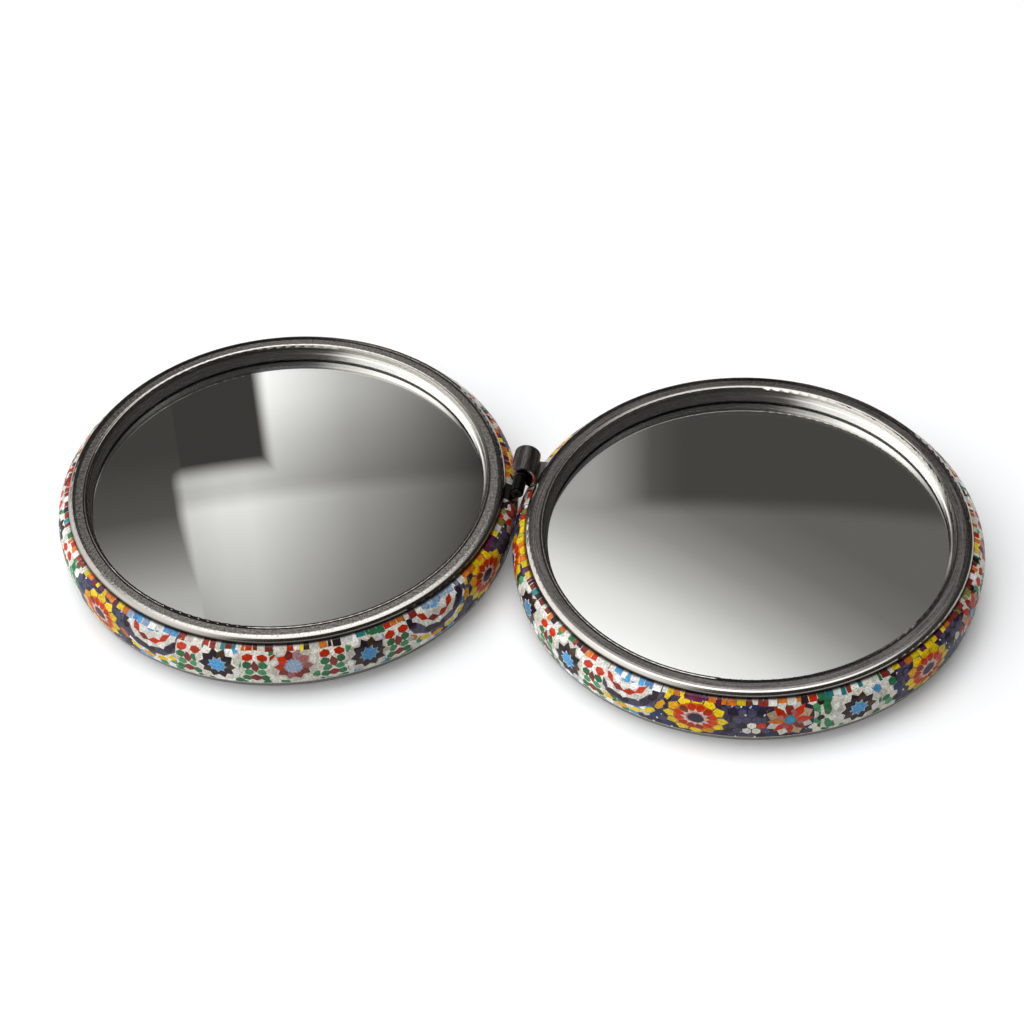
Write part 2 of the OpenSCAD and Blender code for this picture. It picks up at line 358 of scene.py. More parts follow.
def petal_ring(glazes: tuple[Glaze, ...], count: int, turn: float,
               *shape: float) -> list[Tile]:
    """Returns petals round a centre.

    Args:
        glazes: The colours, used in turn.
        count: Number of petals.
        turn: Angle of the first petal in degrees.
        *shape: A petal's measures, as for petal after its angle.

    Returns:
        The tiles.
    """
    return [Tile(glazes[i % len(glazes)], petal(angle, *shape))
            for i, (angle, _) in enumerate(ring(count, 0, turn))]


def sunflower() -> list[Tile]:
    """Returns the yellow rosette: twelve petals on slate, red within, round a dark eye."""
    yellows = (Glaze.YELLOW, Glaze.YELLOW, Glaze.AMBER, Glaze.YELLOW, Glaze.YELLOW)
    reds = (Glaze.RED, Glaze.RED, Glaze.BRICK, Glaze.RED, Glaze.RED)
    return [Tile(Glaze.SLATE, star(12, 5.0, 4.6, 15)),
            *ring_tiles((Glaze.DUSK,), 12, 4.6, 0.55, 0.36, 0.4, 15),
            *petal_ring(yellows, 12, 0, 2.9, 0.6, 3.9, 0.97, 4.75),
            Tile(Glaze.ORANGE, star(12, 3.4, 3.2, 15)),
            *petal_ring(reds, 12, 15, 1.7, 0.38, 2.75, 0.68, 3.28),
            Tile(Glaze.CREAM, star(12, 2.15, 1.5)),
            Tile(Glaze.ROSE, star(12, 1.45, 1.3, 15)),
            Tile(Glaze.DUSK, star(6, 1.22, 1.18))]


def blue_star() -> list[Tile]:
    """Returns the rosette with a sky-blue star in a ring of dark petals on cream."""
    darks = (Glaze.UMBER, Glaze.INK, Glaze.INK, Glaze.INK)
    return [Tile(Glaze.CREAM, star(10, 3.5, 3.2, 18)),
            *ring_tiles((Glaze.WHITE, Glaze.GROUT), 10, 3.05, 0.7, 0.55, 0.3, 18),
            *petal_ring(darks, 10, 0, 0.8, 0.34, 2.0, 0.7, 2.85),
            Tile(Glaze.CREAM, star(9, 1.55, 1.05, 10)),
            Tile(Glaze.SKY, star(9, 1.46, 0.98, 10))]


def rose_star() -> list[Tile]:
    """Returns the rosette with a pale many-pointed star in a ring of red and rose petals."""
    petals = (Glaze.ROSE, Glaze.BRICK, Glaze.BRICK, Glaze.ROSE, Glaze.BRICK, Glaze.RED,
              Glaze.RED, Glaze.BRICK, Glaze.MAUVE, Glaze.ROSE)
    return [Tile(Glaze.CREAM, star(10, 3.55, 3.3, 18)),
            *ring_tiles((Glaze.GROUT, Glaze.CREAM), 10, 3.05, 0.65, 0.5, 0.2, 18),
            *petal_ring(petals, 10, 0, 0.8, 0.34, 2.05, 0.74, 2.85),
            Tile(Glaze.MAUVE, star(14, 1.5, 1.3)),
            Tile(Glaze.LAVENDER, star(14, 1.4, 1.12))]


def wheel() -> list[Tile]:
    """Returns the rosette with a blue hub, and red and cream tiles in turn round it."""
    creams = (Glaze.CREAM, Glaze.SAND, Glaze.CREAM)
    reds = (Glaze.RED, Glaze.BRICK, Glaze.RED, Glaze.RED, Glaze.ORANGE)
    return [Tile(Glaze.DUSK, star(8, 3.7, 3.4, 22.5)),
            *petal_ring(creams, 8, 22.5, 0.6, 0.35, 2.5, 0.95, 3.6),
            *petal_ring(reds, 8, 0, 0.7, 0.34, 1.9, 0.62, 3.35),
            *ring_tiles((Glaze.ROSE,), 4, 1.5, 0.4, 0.5, 0.3, 22.5),
            Tile(Glaze.TEAL, star(3, 0.95, 0.9)),
            Tile(Glaze.SKY, star(3, 0.7, 0.6, 30))]


def leaves() -> list[Tile]:
    """Returns the column of green tiles round dark and brick ones, between two rosettes."""
    tiles = [Tile(Glaze.CREAM, lozenge(0, 0, 2.0, 3.7, 0.7))]
    for side in (-1, 1):
        tiles.append(Tile(Glaze.RED, lozenge(side * 1.1, -1.75, 0.78, 0.62, 0.45, side * 8)))
        for x, y, glaze in ((1.15, -0.5, Glaze.GREEN), (0.95, 0.85, Glaze.LEAF),
                            (1.3, 2.2, Glaze.GREEN)):
            tiles.append(Tile(glaze, lozenge(side * x, y, 0.66, 0.72, 0.45, side * 14)))
        tiles.append(Tile(Glaze.GROUT, lozenge(side * 2.0, 0.5, 0.5, 0.62, 0.4)))
        tiles.append(Tile(Glaze.GREEN, lozenge(side * 1.7, 3.2, 0.5, 0.3, 0.3)))
    tiles.append(Tile(Glaze.WHITE, lozenge(0, -1.75, 0.3, 0.5, 0.3)))
    tiles.append(Tile(Glaze.BRICK, lozenge(0, -0.2, 0.55, 1.1, 0.3, -8)))
    tiles.append(Tile(Glaze.WHITE, lozenge(0, 1.1, 0.22, 0.3)))
    tiles.append(Tile(Glaze.BRICK, lozenge(0, 2.1, 0.78, 0.78, 0.45)))
    return tiles


def vine() -> list[Tile]:
    """Returns the green stem that winds up beside a rosette, with its white leaves."""
    tiles = [Tile(Glaze.CREAM, lozenge(0.2, 0, 1.9, 3.6, 0.7))]
    stem = [(-1.2, -3.2), (-0.2, -3.5), (0.5, -2.7), (-0.1, -1.8), (0.0, -0.9), (-0.5, 0.0),
            (-1.1, -0.3), (-1.3, -1.6)]
    root = [(-1.2, 0.6), (-0.2, 0.9), (0.3, 1.9), (0.7, 3.0), (-0.6, 3.1), (-1.0, 2.0)]
    tiles.append(Tile(Glaze.GREEN, stem))
    tiles.append(Tile(Glaze.LEAF, root))
    for x, y, glaze in ((0.9, -2.6, Glaze.WHITE), (0.8, -1.1, Glaze.WHITE),
                        (1.0, 0.4, Glaze.GROUT), (0.1, 0.9, Glaze.WHITE),
                        (-1.6, 0.2, Glaze.INK), (-1.5, -2.4, Glaze.INK)):
        tiles.append(Tile(glaze, lozenge(x, y, 0.55, 0.62, 0.4, 20)))
    return tiles


def garland() -> list[Tile]:
    """Returns the great rosette whose middle hides under the bezel, blue within and red round."""
    tiles = [Tile(Glaze.SLATE, star(16, 6.3, 6.1))]
    tiles += ring_tiles((Glaze.YELLOW, Glaze.AMBER, Glaze.YELLOW, Glaze.ORANGE, Glaze.SLATE),
                        18, 6.95, 0.95, 0.55, 0.5, 73)
    tiles += ring_tiles((Glaze.SLATE, Glaze.INK, Glaze.DUSK), 18, 5.35, 0.95, 0.68, 0.5, 10)
    tiles.append(Tile(Glaze.CREAM, star(12, 4.85, 4.7)))
    tiles += ring_tiles((Glaze.CREAM, Glaze.WHITE), 12, 4.4, 0.7, 0.7, 0.1, 0)
    tiles += ring_tiles((Glaze.RED, Glaze.RED, Glaze.RED, Glaze.BRICK), 12, 3.6, 1.02, 0.5,
                        0.12, 15)
    tiles += ring_tiles((Glaze.WHITE, Glaze.CREAM), 12, 2.75, 0.66, 0.5, 0.5, 0)
    tiles += ring_tiles((Glaze.SKY, Glaze.AZURE, Glaze.SKY), 9, 1.85, 0.64, 0.5, 0.6, 10)
    tiles.append(Tile(Glaze.WHITE, star(5, 1.2, 1.0)))
    return tiles


class Motif(Enum):
    """The kinds of motif on the print."""

    SUNFLOWER = "sunflower"
    BLUE_STAR = "blue star"
    ROSE_STAR = "rose star"
    WHEEL = "wheel"
    LEAVES = "leaves"
    VINE = "vine"
    GARLAND = "garland"

    def draw(self) -> list[Tile]:
        """Returns the motif's tiles round its own centre."""
        return {Motif.SUNFLOWER: sunflower, Motif.BLUE_STAR: blue_star,
                Motif.ROSE_STAR: rose_star, Motif.WHEEL: wheel, Motif.LEAVES: leaves,
                Motif.VINE: vine, Motif.GARLAND: garland}[self]()

    def drawn_at(self, spot: Spot) -> list[Tile]:
        """Returns the motif's tiles at a place on the print."""
        return [Tile(t.glaze, [spot.put(p) for p in t.outline]) for t in self.draw()]

    @property
    def field(self) -> tuple[Glaze, ...]:
        """The colours of the small tiles that fill the print round this motif."""
        dark = (Glaze.SLATE, Glaze.SLATE, Glaze.SLATE, Glaze.DUSK, Glaze.NAVY, Glaze.INK)
        pale = (Glaze.CREAM, Glaze.WHITE, Glaze.CREAM, Glaze.LEAF, Glaze.GREEN, Glaze.CREAM)
        return {Motif.SUNFLOWER: dark, Motif.WHEEL: dark + (Glaze.CREAM, Glaze.RED),
                Motif.BLUE_STAR: pale + (Glaze.SKY,), Motif.LEAVES: pale, Motif.VINE: pale,
                Motif.ROSE_STAR: pale + (Glaze.BRICK, Glaze.RED),
                Motif.GARLAND: (Glaze.CREAM, Glaze.SLATE, Glaze.SKY, Glaze.WHITE)}[self]

    @property
    def edging(self) -> tuple[Glaze, ...]:
        """The colours of the row of short bars that tops the print near this motif."""
        return {Motif.SUNFLOWER: (Glaze.YELLOW, Glaze.PLUM, Glaze.ORANGE, Glaze.YELLOW),
                Motif.WHEEL: (Glaze.INK, Glaze.BRICK, Glaze.OLIVE, Glaze.RED, Glaze.ORANGE,
                              Glaze.CREAM),
                Motif.BLUE_STAR: (Glaze.TEAL, Glaze.INK, Glaze.WHITE, Glaze.GREEN, Glaze.BRICK,
                                  Glaze.CREAM),
                Motif.LEAVES: (Glaze.RED, Glaze.INK, Glaze.WHITE, Glaze.ORANGE, Glaze.CREAM,
                               Glaze.BRICK),
                Motif.VINE: (Glaze.GREEN, Glaze.WHITE, Glaze.TEAL, Glaze.GREEN),
                Motif.ROSE_STAR: (Glaze.ORANGE, Glaze.RED, Glaze.UMBER, Glaze.CREAM,
                                  Glaze.YELLOW),
                Motif.GARLAND: (Glaze.LAVENDER, Glaze.SKY, Glaze.WHITE)}[self]

    @property
    def dark(self) -> bool:
        """Whether the print between the tiles is dark round this motif."""
        return self in (Motif.SUNFLOWER, Motif.WHEEL)


class Placed(NamedTuple):
    """A motif on the side of a case: its kind, angle round the case, and depth below the bezel."""

    kind: Motif
    angle: float
    depth: float


@dataclass(frozen=True)
class Zellige:
    """The print of one case, laid out as a glazed tile wall cut by hand would be.

    Attributes:
        seed: Seed of the small unevenness of the tiles.
        round_the_side: The motifs on the side, in the order in which they are printed.
        radius: Radius round which the side's angles are measured out.
        first: Distance along the section at which the side's print begins.
        last: Distance along the section at which it ends.
        skirt: Distance along the section of the bezel's lower edge.
        face_radius: Radius of the print on the outer face.
        pitch: Distance between neighbouring small tiles of a row.
        row_share: Distance between rows, as a share of the pitch.
        unevenness: How far a corner of a tile lies out of place at most.
        small_tile: Half width and half height of a small tile, as shares of half the pitch.
        small_turn: Greatest turn of a small tile in degrees.
        dark_bed: The same two shares for the dark bed that lies under it in dark fields.
        shoulder: Shoulder of the small tile and its bed, as for a lozenge.
        flecks: Share of the small tiles of dark fields that have a white fleck.
        fleck_place: Place of the fleck from the tile's centre, in shares of half the pitch.
        fleck: Half width, half height and shoulder of the fleck.
        fleck_turn: Greatest turn of a fleck in degrees.
        edging_height: How far the row of short bars reaches below the bezel's lower edge.
        edging_top: How far below the print's beginning the bars begin.
        bar_width: Least and greatest width of a bar and its gap.
        bar_gap: Gap beside a bar.
        bar_least: Width up to which a bar is left out.
        bar_uneven: How far above and below the row's foot a bar ends at most.
        sunflower_share: Height of a sunflower on the side, as a share of its width.
        face_growth: Size of the outer face's small tiles, with the side's as 1.
        face_rings: Count, radius, first angle and size of each ring of rosettes on that face.
        face_middle: Size of the rosette in the middle of that face.
        face_edge: Least distance of a tile from the edge of that print.
    """

    seed: int
    round_the_side: tuple[Placed, ...]
    radius: float
    first: float
    last: float
    skirt: float
    face_radius: float
    pitch: float = 1.34
    row_share: float = 0.87
    unevenness: float = 0.075
    small_tile: Point = (0.93, 1.1)
    small_turn: float = 12
    dark_bed: Point = (1.08, 1.28)
    shoulder: float = 0.5
    flecks: float = 0.3
    fleck_place: Point = (0.8, 0.7)
    fleck: tuple[float, float, float] = (0.2, 0.42, 0.3)
    fleck_turn: float = 60
    edging_height: float = 1.0
    edging_top: float = 0.1
    bar_width: Point = (0.6, 1.5)
    bar_gap: float = 0.09
    bar_least: float = 0.3
    bar_uneven: Point = (-0.3, 0.15)
    sunflower_share: float = 0.74
    face_growth: float = 1.15
    face_rings: tuple[tuple[int, float, float, float], ...] = (
        (8, 12.3, 0.0, 1.25), (16, 23.4, 11.25, 1.12))
    face_middle: float = 1.35
    face_edge: float = 0.2

    def spots(self) -> list[tuple[Motif, Spot]]:
        """Returns the side's motifs with their places on the flat print."""
        return [(p.kind, Spot(math.radians(p.angle % 360) * self.radius, self.skirt + p.depth,
                              1.0, self.sunflower_share if p.kind is Motif.SUNFLOWER else 1.0))
                for p in self.round_the_side]

    def nearest(self, x: float, y: float, spots: list[tuple[Motif, Spot]],
                around: float | None) -> Motif:
        """Returns the kind of the motif nearest to a point, round the seam where there is one."""
        def gap(spot: Spot) -> float:
            across = abs(x - spot.x)
            if around:
                across = min(across, around - across)
            return math.hypot(across, y - spot.y)
        return min(spots, key=lambda pair: gap(pair[1]))[0]

    def uneven(self, tile: Tile, rng: random.Random) -> Tile:
        """Returns the tile with its corners a little out of place."""
        shift = self.unevenness
        return Tile(tile.glaze, [(x + rng.uniform(-shift, shift), y + rng.uniform(-shift, shift))
                                 for x, y in tile.outline])

    def cells(self, x: float, y: float, kind: Motif, rng: random.Random) -> list[Tile]:
        """Returns the small tile that fills one cell, with its dark bed or its pale fleck."""
        half = self.pitch / 2
        tiles = []
        if kind.dark:
            wide, high = self.dark_bed
            tiles.append(Tile(Glaze.DUSK, lozenge(x, y, half * wide, half * high,
                                                  self.shoulder)))
        wide, high = self.small_tile
        tiles.append(Tile(rng.choice(kind.field),
                          lozenge(x, y, half * wide, half * high, self.shoulder,
                                  rng.uniform(-self.small_turn, self.small_turn))))
        if kind.dark and rng.random() < self.flecks:
            right, down = self.fleck_place
            tiles.append(Tile(Glaze.WHITE,
                              lozenge(x + half * right, y + half * down, *self.fleck,
                                      rng.uniform(-self.fleck_turn, self.fleck_turn))))
        return tiles

    def side(self) -> list[Tile]:
        """Returns the side's tiles, with what lies on top last."""
        rng = random.Random(self.seed)
        around = 2 * math.pi * self.radius
        spots = self.spots()
        count = round(around / self.pitch)
        across = around / count
        down = self.pitch * self.row_share
        tiles = []
        row = 0
        y = self.first + down
        while y < self.last:
            for i in range(count):
                x = (i + 0.5 * (row % 2)) * across
                tiles += self.cells(x, y, self.nearest(x, y, spots, around), rng)
            y += down
            row += 1
        for kind, spot in sorted(spots, key=lambda pair: pair[0] is not Motif.GARLAND):
            tiles += kind.drawn_at(spot)
        tiles += self.edging(spots, around, rng)
        return [self.uneven(tile, rng) for tile in tiles]

    def edging(self, spots: list[tuple[Motif, Spot]], around: float,
               rng: random.Random) -> list[Tile]:
        """Returns the row of short bars along the bezel.

        Args:
            spots: The side's motifs, which set the bars' colours near them.
            around: Length of the row.
            rng: Draws the bars' widths, ends and colours.

        Returns:
            The bars.
        """
        bars = []
        x = 0.0
        top, foot = self.first + self.edging_top, self.skirt + self.edging_height
        while x < around:
            kind = self.nearest(x, foot, spots, around)
            width = rng.uniform(*self.bar_width)
            end = min(x + width, around) - self.bar_gap
            low = foot + rng.uniform(*self.bar_uneven)
            if end - x > self.bar_least:
                bars.append(Tile(rng.choice(kind.edging),
                                 [(x, top), (end, top), (end, low), (x, low)]))
            x += width
        return bars

    def face(self) -> list[Tile]:
        """Returns the outer face's tiles, rings of rosettes round one in the middle."""
        rng = random.Random(self.seed + 1)
        spots = [(Motif.SUNFLOWER, Spot(0, 0, self.face_middle, self.face_middle))]
        kinds = ((Motif.BLUE_STAR, Motif.ROSE_STAR),
                 (Motif.SUNFLOWER, Motif.BLUE_STAR, Motif.WHEEL, Motif.ROSE_STAR))
        for (count, radius, turn, size), ring_kinds in zip(self.face_rings, kinds):
            for i, (angle, at) in enumerate(ring(count, radius, turn)):
                spots.append((ring_kinds[i % len(ring_kinds)],
                              Spot(*at, size, size, math.radians(angle))))
        tiles = []
        down = self.pitch * self.row_share * self.face_growth
        rows = int(self.face_radius / down)
        for row in range(-rows, rows + 1):
            for col in range(-rows, rows + 1):
                x = (col + 0.5 * (row % 2)) * self.pitch * self.face_growth
                if math.hypot(x, row * down) < self.face_radius - self.pitch:
                    kind = self.nearest(x, row * down, spots, None)
                    tiles += self.cells(x, row * down, kind, rng)
        for kind, spot in spots:
            tiles += kind.drawn_at(spot)
        limit = self.face_radius - self.face_edge
        return [t for t in (self.uneven(tile, rng) for tile in tiles)
                if all(math.hypot(*p) < limit for p in t.outline)]


def turned_left(outline: list[Point]) -> list[Point]:
    """Returns the outline in anticlockwise order, which the triangulation asks for."""
    area = sum(a[0] * b[1] - b[0] * a[1] for a, b in zip(outline, outline[1:] + outline[:1]))
    return outline if area > 0 else outline[::-1]


def within(point: Vector, outline: list[Point]) -> bool:
    """Tells whether a point lies in the box round an outline."""
    xs, ys = zip(*outline)
    return min(xs) <= point.x <= max(xs) and min(ys) <= point.y <= max(ys)


class Cut(NamedTuple):
    """A flat patch cut into triangles: its points, and each triangle with its topmost tile."""

    points: list[Point]
    triangles: list[tuple[tuple[int, int, int], Tile | None]]


def cut_patch(border: list[Point], tiles: list[Tile], guides: list[list[Point]]) -> Cut:
    """Cuts a flat patch along the outlines of its tiles, where the last tile lies on top.

    Args:
        border: Outline of the patch.
        tiles: Tiles that touch it, which may overlap each other and its border.
        guides: Lines that the triangles also have to follow.

    Returns:
        The cut patch.
    """
    points: list[Vector] = []
    edges: list[tuple[int, int]] = []
    faces: list[list[int]] = []
    for outline in [border] + [tile.outline for tile in tiles]:
        start = len(points)
        points += [Vector(p) for p in turned_left(outline)]
        faces.append(list(range(start, len(points))))
    for guide in guides:
        start = len(points)
        points += [Vector(p) for p in guide]
        edges += [(i, i + 1) for i in range(start, len(points) - 1)]
    found, _, cut, _, _, owners = delaunay_2d_cdt(points, edges, faces, 1, 1e-5, True)
    triangles = []
    for corners, owned in zip(cut, owners):
        if 0 in owned:
            middle = sum((found[i] for i in corners), Vector((0, 0))) / 3
            on_it = [i for i in owned if i and within(middle, tiles[i - 1].outline)]
            triangles.append((tuple(corners), tiles[max(on_it) - 1] if on_it else None))
    return Cut([(p.x, p.y) for p in found], triangles)


@dataclass(frozen=True)
class Section:
    """The outside of a case in section, followed from its mouth down to its outer face.

    Attributes:
        radius: Radius of the case at its widest line.
        top: Height of the flat flange at the mouth.
        mouth: Radius of the mouth.
        shoulder: Radius of the arc from the flange to the widest line.
        side: Radius of the bulging side.
        corner: Radius of the arc between the side and the outer face.
    """

    radius: float
    top: float
    mouth: float = 31.0
    shoulder: float = 3.0
    side: float = 16.0
    corner: float = 2.4

    @property
    def widest(self) -> float:
        """Height of the widest line."""
        return self.top - self.shoulder

    @property
    def side_end(self) -> float:
        """Angle below level at which the side passes into the corner."""
        return math.asin((self.widest - self.corner) / (self.side - self.corner))

    @property
    def foot_radius(self) -> float:
        """Radius of the flat outer face."""
        reach = math.cos(self.side_end) * (self.side - self.corner)
        return self.radius - self.side + reach

    @property
    def lengths(self) -> tuple[float, float, float, float]:
        """Lengths of the flange, the shoulder, the side and the corner."""
        return (self.radius - self.shoulder - self.mouth, self.shoulder * math.pi / 2,
                self.side * self.side_end, self.corner * (math.pi / 2 - self.side_end))

    def at(self, along: float) -> tuple[float, float, float]:
        """Finds a place on the section.

        Args:
            along: Distance from the mouth, along the section.

        Returns:
            Radius, height, and the angle above level in which the surface faces.
        """
        flange, shoulder, side, _ = self.lengths
        if along <= flange:
            return self.mouth + along, self.top, math.pi / 2
        along -= flange
        if along <= shoulder:
            angle = math.pi / 2 - along / self.shoulder
            centre = self.radius - self.shoulder
            return (centre + self.shoulder * math.cos(angle),
                    self.widest + self.shoulder * math.sin(angle), angle)
        along -= shoulder
        if along <= side:
            angle = -along / self.side
            return (self.radius - self.side + self.side * math.cos(angle),
                    self.widest + self.side * math.sin(angle), angle)
        angle = -self.side_end - (along - side) / self.corner
        return (self.foot_radius + self.corner * math.cos(angle),
                self.corner + self.corner * math.sin(angle), angle)

    def below_mouth(self, radius: float) -> float:
        """Returns the distance along the section to a radius on the shoulder."""
        angle = math.acos((radius - self.radius + self.shoulder) / self.shoulder)
        return self.lengths[0] + (math.pi / 2 - angle) * self.shoulder


@dataclass(frozen=True)
class Notch:
    """The cut in a case's rim that lets its hinge leaf out.

    Attributes:
        near: Its side nearest to the middle of the hinge, in millimetres along the pin.
        far: Its other side.
        height: Height of its bottom above the table.
    """

    near: float
    far: float
    height: float


def linked_piece(name: str, mesh: bmesh.types.BMesh, material: bpy.types.Material,
                 treat: Callable[[bpy.types.Mesh], None] | None = None) -> bpy.types.Object:
    """Turns a finished mesh into a piece of the scene, and frees the mesh.

    Args:
        name: Name of the piece.
        mesh: The mesh.
        material: The piece's material.
        treat: What is still done to the piece's mesh data.

    Returns:
        The piece.
    """
    data = bpy.data.meshes.new(name)
    mesh.to_mesh(data)
    mesh.free()
    if treat:
        treat(data)
    piece = bpy.data.objects.new(name, data)
    bpy.context.scene.collection.objects.link(piece)
    data.materials.append(material)
    return piece


@dataclass
class MosaicWrap:
    """The printed film that covers one case, with its tiles cut into the mesh.

    Attributes:
        node: The CAD node that it stands for.
        body: The body that it moves with.
        centre: Where the case's centre lies along X.
        section: Section of the case.
        notch: The hinge notch.
        zellige: The print.
        facing: Angle of the hinge as seen from the case's centre.
        film: Thickness of the film.
        step: Angle between neighbouring lines of the mesh, in degrees.
        patch: Angle that one patch spans, in degrees.
        pleat_depth: Depth of the deepest pleats.
        pleats: Number of pleats round the case.
        pleat_rise: How far above the bezel's lower edge the pleats begin.
        pleat_reach: How far below that edge they fade out.
        blisters: Angle, distance along the section, and height of small lumps in the film.
        blister_size: Radius at which a lump has fallen to about a third of its height.
        pieces: Into how many the mesh cuts the shoulder, the side and the corner downwards.
        notch_pieces: Into how many it cuts the notch's edges.
        notch_overrun: How far the notch's outline runs out beyond the mouth.
        notch_margin: Bare film beside the notch and below it.
        first_gap: How far below its beginning the print's tiles begin.
        least_tile: Height below which a clipped tile is left out.
        grout_reach: How far the grout runs on below the print's last tiles.
        grout_corners: Half the number of corners of the round grout on the outer face.
        wedge_slack: How far beyond its wedge a tile of that face is still looked for.
        weld: Distance below which neighbouring patches' points become one.
    """

    node: str
    body: str
    centre: float
    section: Section
    notch: Notch
    zellige: Zellige
    facing: float
    film: float = 0.2
    step: int = 2
    patch: int = 10
    pleat_depth: float = 0.045
    pleats: int = 96
    pleat_rise: float = 0.5
    pleat_reach: float = 1.6
    blisters: tuple[tuple[float, float, float], ...] = ()
    blister_size: float = 0.22
    pieces: tuple[int, int, int] = (9, 4, 6)
    notch_pieces: int = 8
    notch_overrun: float = 0.3
    notch_margin: Point = (0.3, 0.1)
    first_gap: float = 0.05
    least_tile: float = 0.08
    grout_reach: float = 0.12
    grout_corners: int = 60
    wedge_slack: float = 0.05
    weld: float = 0.002

    def relief(self, across: float, along: float) -> float:
        """Returns how far the film stands off the smooth case: pleats below the bezel, blisters."""
        angle = across / self.section.radius
        below = along - self.zellige.skirt
        height = 0.0
        if -self.pleat_rise < below < self.pleat_reach:
            # waves that don't keep step make patches of pleats, and pleats of uneven width
            patchy = max(0.0, math.sin(angle * 3 + 0.7) + 0.5 * math.sin(angle * 11 + 2))
            fade = max(0.0, 1 - max(0.0, below) / self.pleat_reach)
            height -= self.pleat_depth * patchy * fade * (
                0.5 + 0.5 * math.sin(angle * self.pleats + 3 * math.sin(angle * 7)))
        for turn, place, rise in self.blisters:
            far = math.hypot(across - math.radians(turn % 360) * self.section.radius,
                             along - place)
            height += rise * math.exp(-(far / self.blister_size) ** 2)
        return height

    def surface(self, across: float, along: float, inset: float) -> Vector:
        """Returns the point of the side, in metres, for a point of the flat print."""
        radius, height, angle = self.section.at(along)
        out = (self.relief(across, along) if inset == 0 else 0.0) - inset
        radius += out * math.cos(angle)
        height += out * math.sin(angle)
        turn = across / self.section.radius
        return Vector((self.centre + radius * math.cos(turn), radius * math.sin(turn),
                       height)) * MM

    def facing_out(self, across: float, along: float, inset: float) -> Vector:
        """Returns the direction in which the side's surface faces."""
        small = 0.02
        here = self.surface(across, along, inset)
        right = self.surface(across + small, along, inset) - here
        down = self.surface(across, min(along + small, sum(self.section.lengths)), inset) - here
        _, _, angle = self.section.at(along)
        turn = across / self.section.radius
        plain = Vector((math.cos(angle) * math.cos(turn), math.cos(angle) * math.sin(turn),
                        math.sin(angle)))
        if down.length < 1e-9 or inset:
            return plain if inset == 0 else -plain
        found = right.cross(down).normalized()
        return found if found.dot(plain) > 0 else -found

    def notch_tile(self) -> Tile:
        """Returns the notch's outline on the flat print, from beyond the mouth to its bottom."""
        flange, shoulder, _, _ = self.section.lengths
        sink = math.asin((self.notch.height - self.section.widest) / self.section.shoulder)
        bottom = flange + shoulder - sink * self.section.shoulder
        over, pieces = self.notch_overrun, self.notch_pieces
        steps = [-over + (bottom + over) * i / pieces for i in range(pieces + 1)]
        side = 1 if self.facing == 0 else -1

        def edge(reach: float) -> list[Point]:
            line = []
            for along in steps:
                radius = self.section.at(max(along, 0.0))[0]
                turn = math.radians(self.facing) + side * math.asin(reach / radius)
                line.append((turn * self.section.radius, along))
            return line
        return Tile(Glaze.BARE_WITH_SHADE, edge(self.notch.near) + edge(self.notch.far)[::-1])

    def lines_down(self) -> list[float]:
        """Returns the distances along the section at which lines run round the case."""
        ends = [self.section.lengths[0]]
        for length, pieces in zip(self.section.lengths[1:], self.pieces):
            start = ends[-1]
            ends += [start + length * (i + 1) / pieces for i in range(pieces)]
        return ends[:-1]

    def add_patch(self, mesh: bmesh.types.BMesh, cut: Cut,
                  place: Callable[[Point], tuple[Vector, Vector]],
                  hole: Tile | None = None) -> None:
        """Adds a cut patch to the mesh.

        Args:
            mesh: The mesh being built.
            cut: The patch.
            place: Gives a flat point's place and direction on the case.
            hole: Tile whose triangles are left out.
        """
        glaze_of = mesh.faces.layers.float["glaze"]
        tone_of = mesh.faces.layers.float["tone"]
        facing_of = mesh.verts.layers.float_vector["facing"]
        made: dict[int, bmesh.types.BMVert] = {}
        for corners, tile in cut.triangles:
            if tile is hole and hole is not None:
                continue
            for i in corners:
                if i not in made:
                    at, facing = place(cut.points[i])
                    made[i] = mesh.verts.new(at)
                    made[i][facing_of] = facing
            face = mesh.faces.new([made[i] for i in corners])
            tile = tile or Tile(Glaze.BARE_WITH_SHADE, [])
            face[glaze_of] = tile.glaze.level
            face[tone_of] = tile.tone

    def printed_side(self, notch: Tile, rng: random.Random) -> list[Tile]:
        """Returns the side's tiles that show, with their tones.

        Args:
            notch: Outline of the notch, which the tiles keep off.
            rng: Draws the tones.

        Returns:
            The tiles, clipped where the print begins and ends.
        """
        beside, under = self.notch_margin
        left = min(p[0] for p in notch.outline) - beside
        right = max(p[0] for p in notch.outline) + beside
        bottom = max(p[1] for p in notch.outline) + under
        first, last = self.zellige.first + self.first_gap, self.zellige.last
        shown = []
        for tile in self.zellige.side():
            xs = [p[0] for p in tile.outline]
            ys = [min(max(p[1], first), last) for p in tile.outline]
            flat = max(ys) - min(ys) < self.least_tile
            near = max(xs) > left and min(xs) < right and min(ys) < bottom
            if not flat and not near:
                shown.append(Tile(tile.glaze, list(zip(xs, ys)), rng.random()))
        return shown

    def printed_face(self, rng: random.Random) -> list[Tile]:
        """Returns the outer face's grout and tiles, with their tones."""
        edge = self.zellige.face_radius
        return [Tile(Glaze.GROUT, star(self.grout_corners, edge, edge)),
                *(tile._replace(tone=rng.random()) for tile in self.zellige.face())]

    def skin(self, mesh: bmesh.types.BMesh, inset: float) -> None:
        """Adds the whole surface of the film at an inset, printed where the inset is 0."""
        notch = self.notch_tile()
        side_tiles, face_tiles = [], []
        if inset == 0:
            rng = random.Random(self.zellige.seed + 2)
            side_tiles = self.printed_side(notch, rng)
            face_tiles = self.printed_face(rng)
        for start in range(0, 360, self.patch):
            self.add_side(mesh, inset, start, side_tiles, notch)
            self.add_foot(mesh, inset, start, face_tiles)

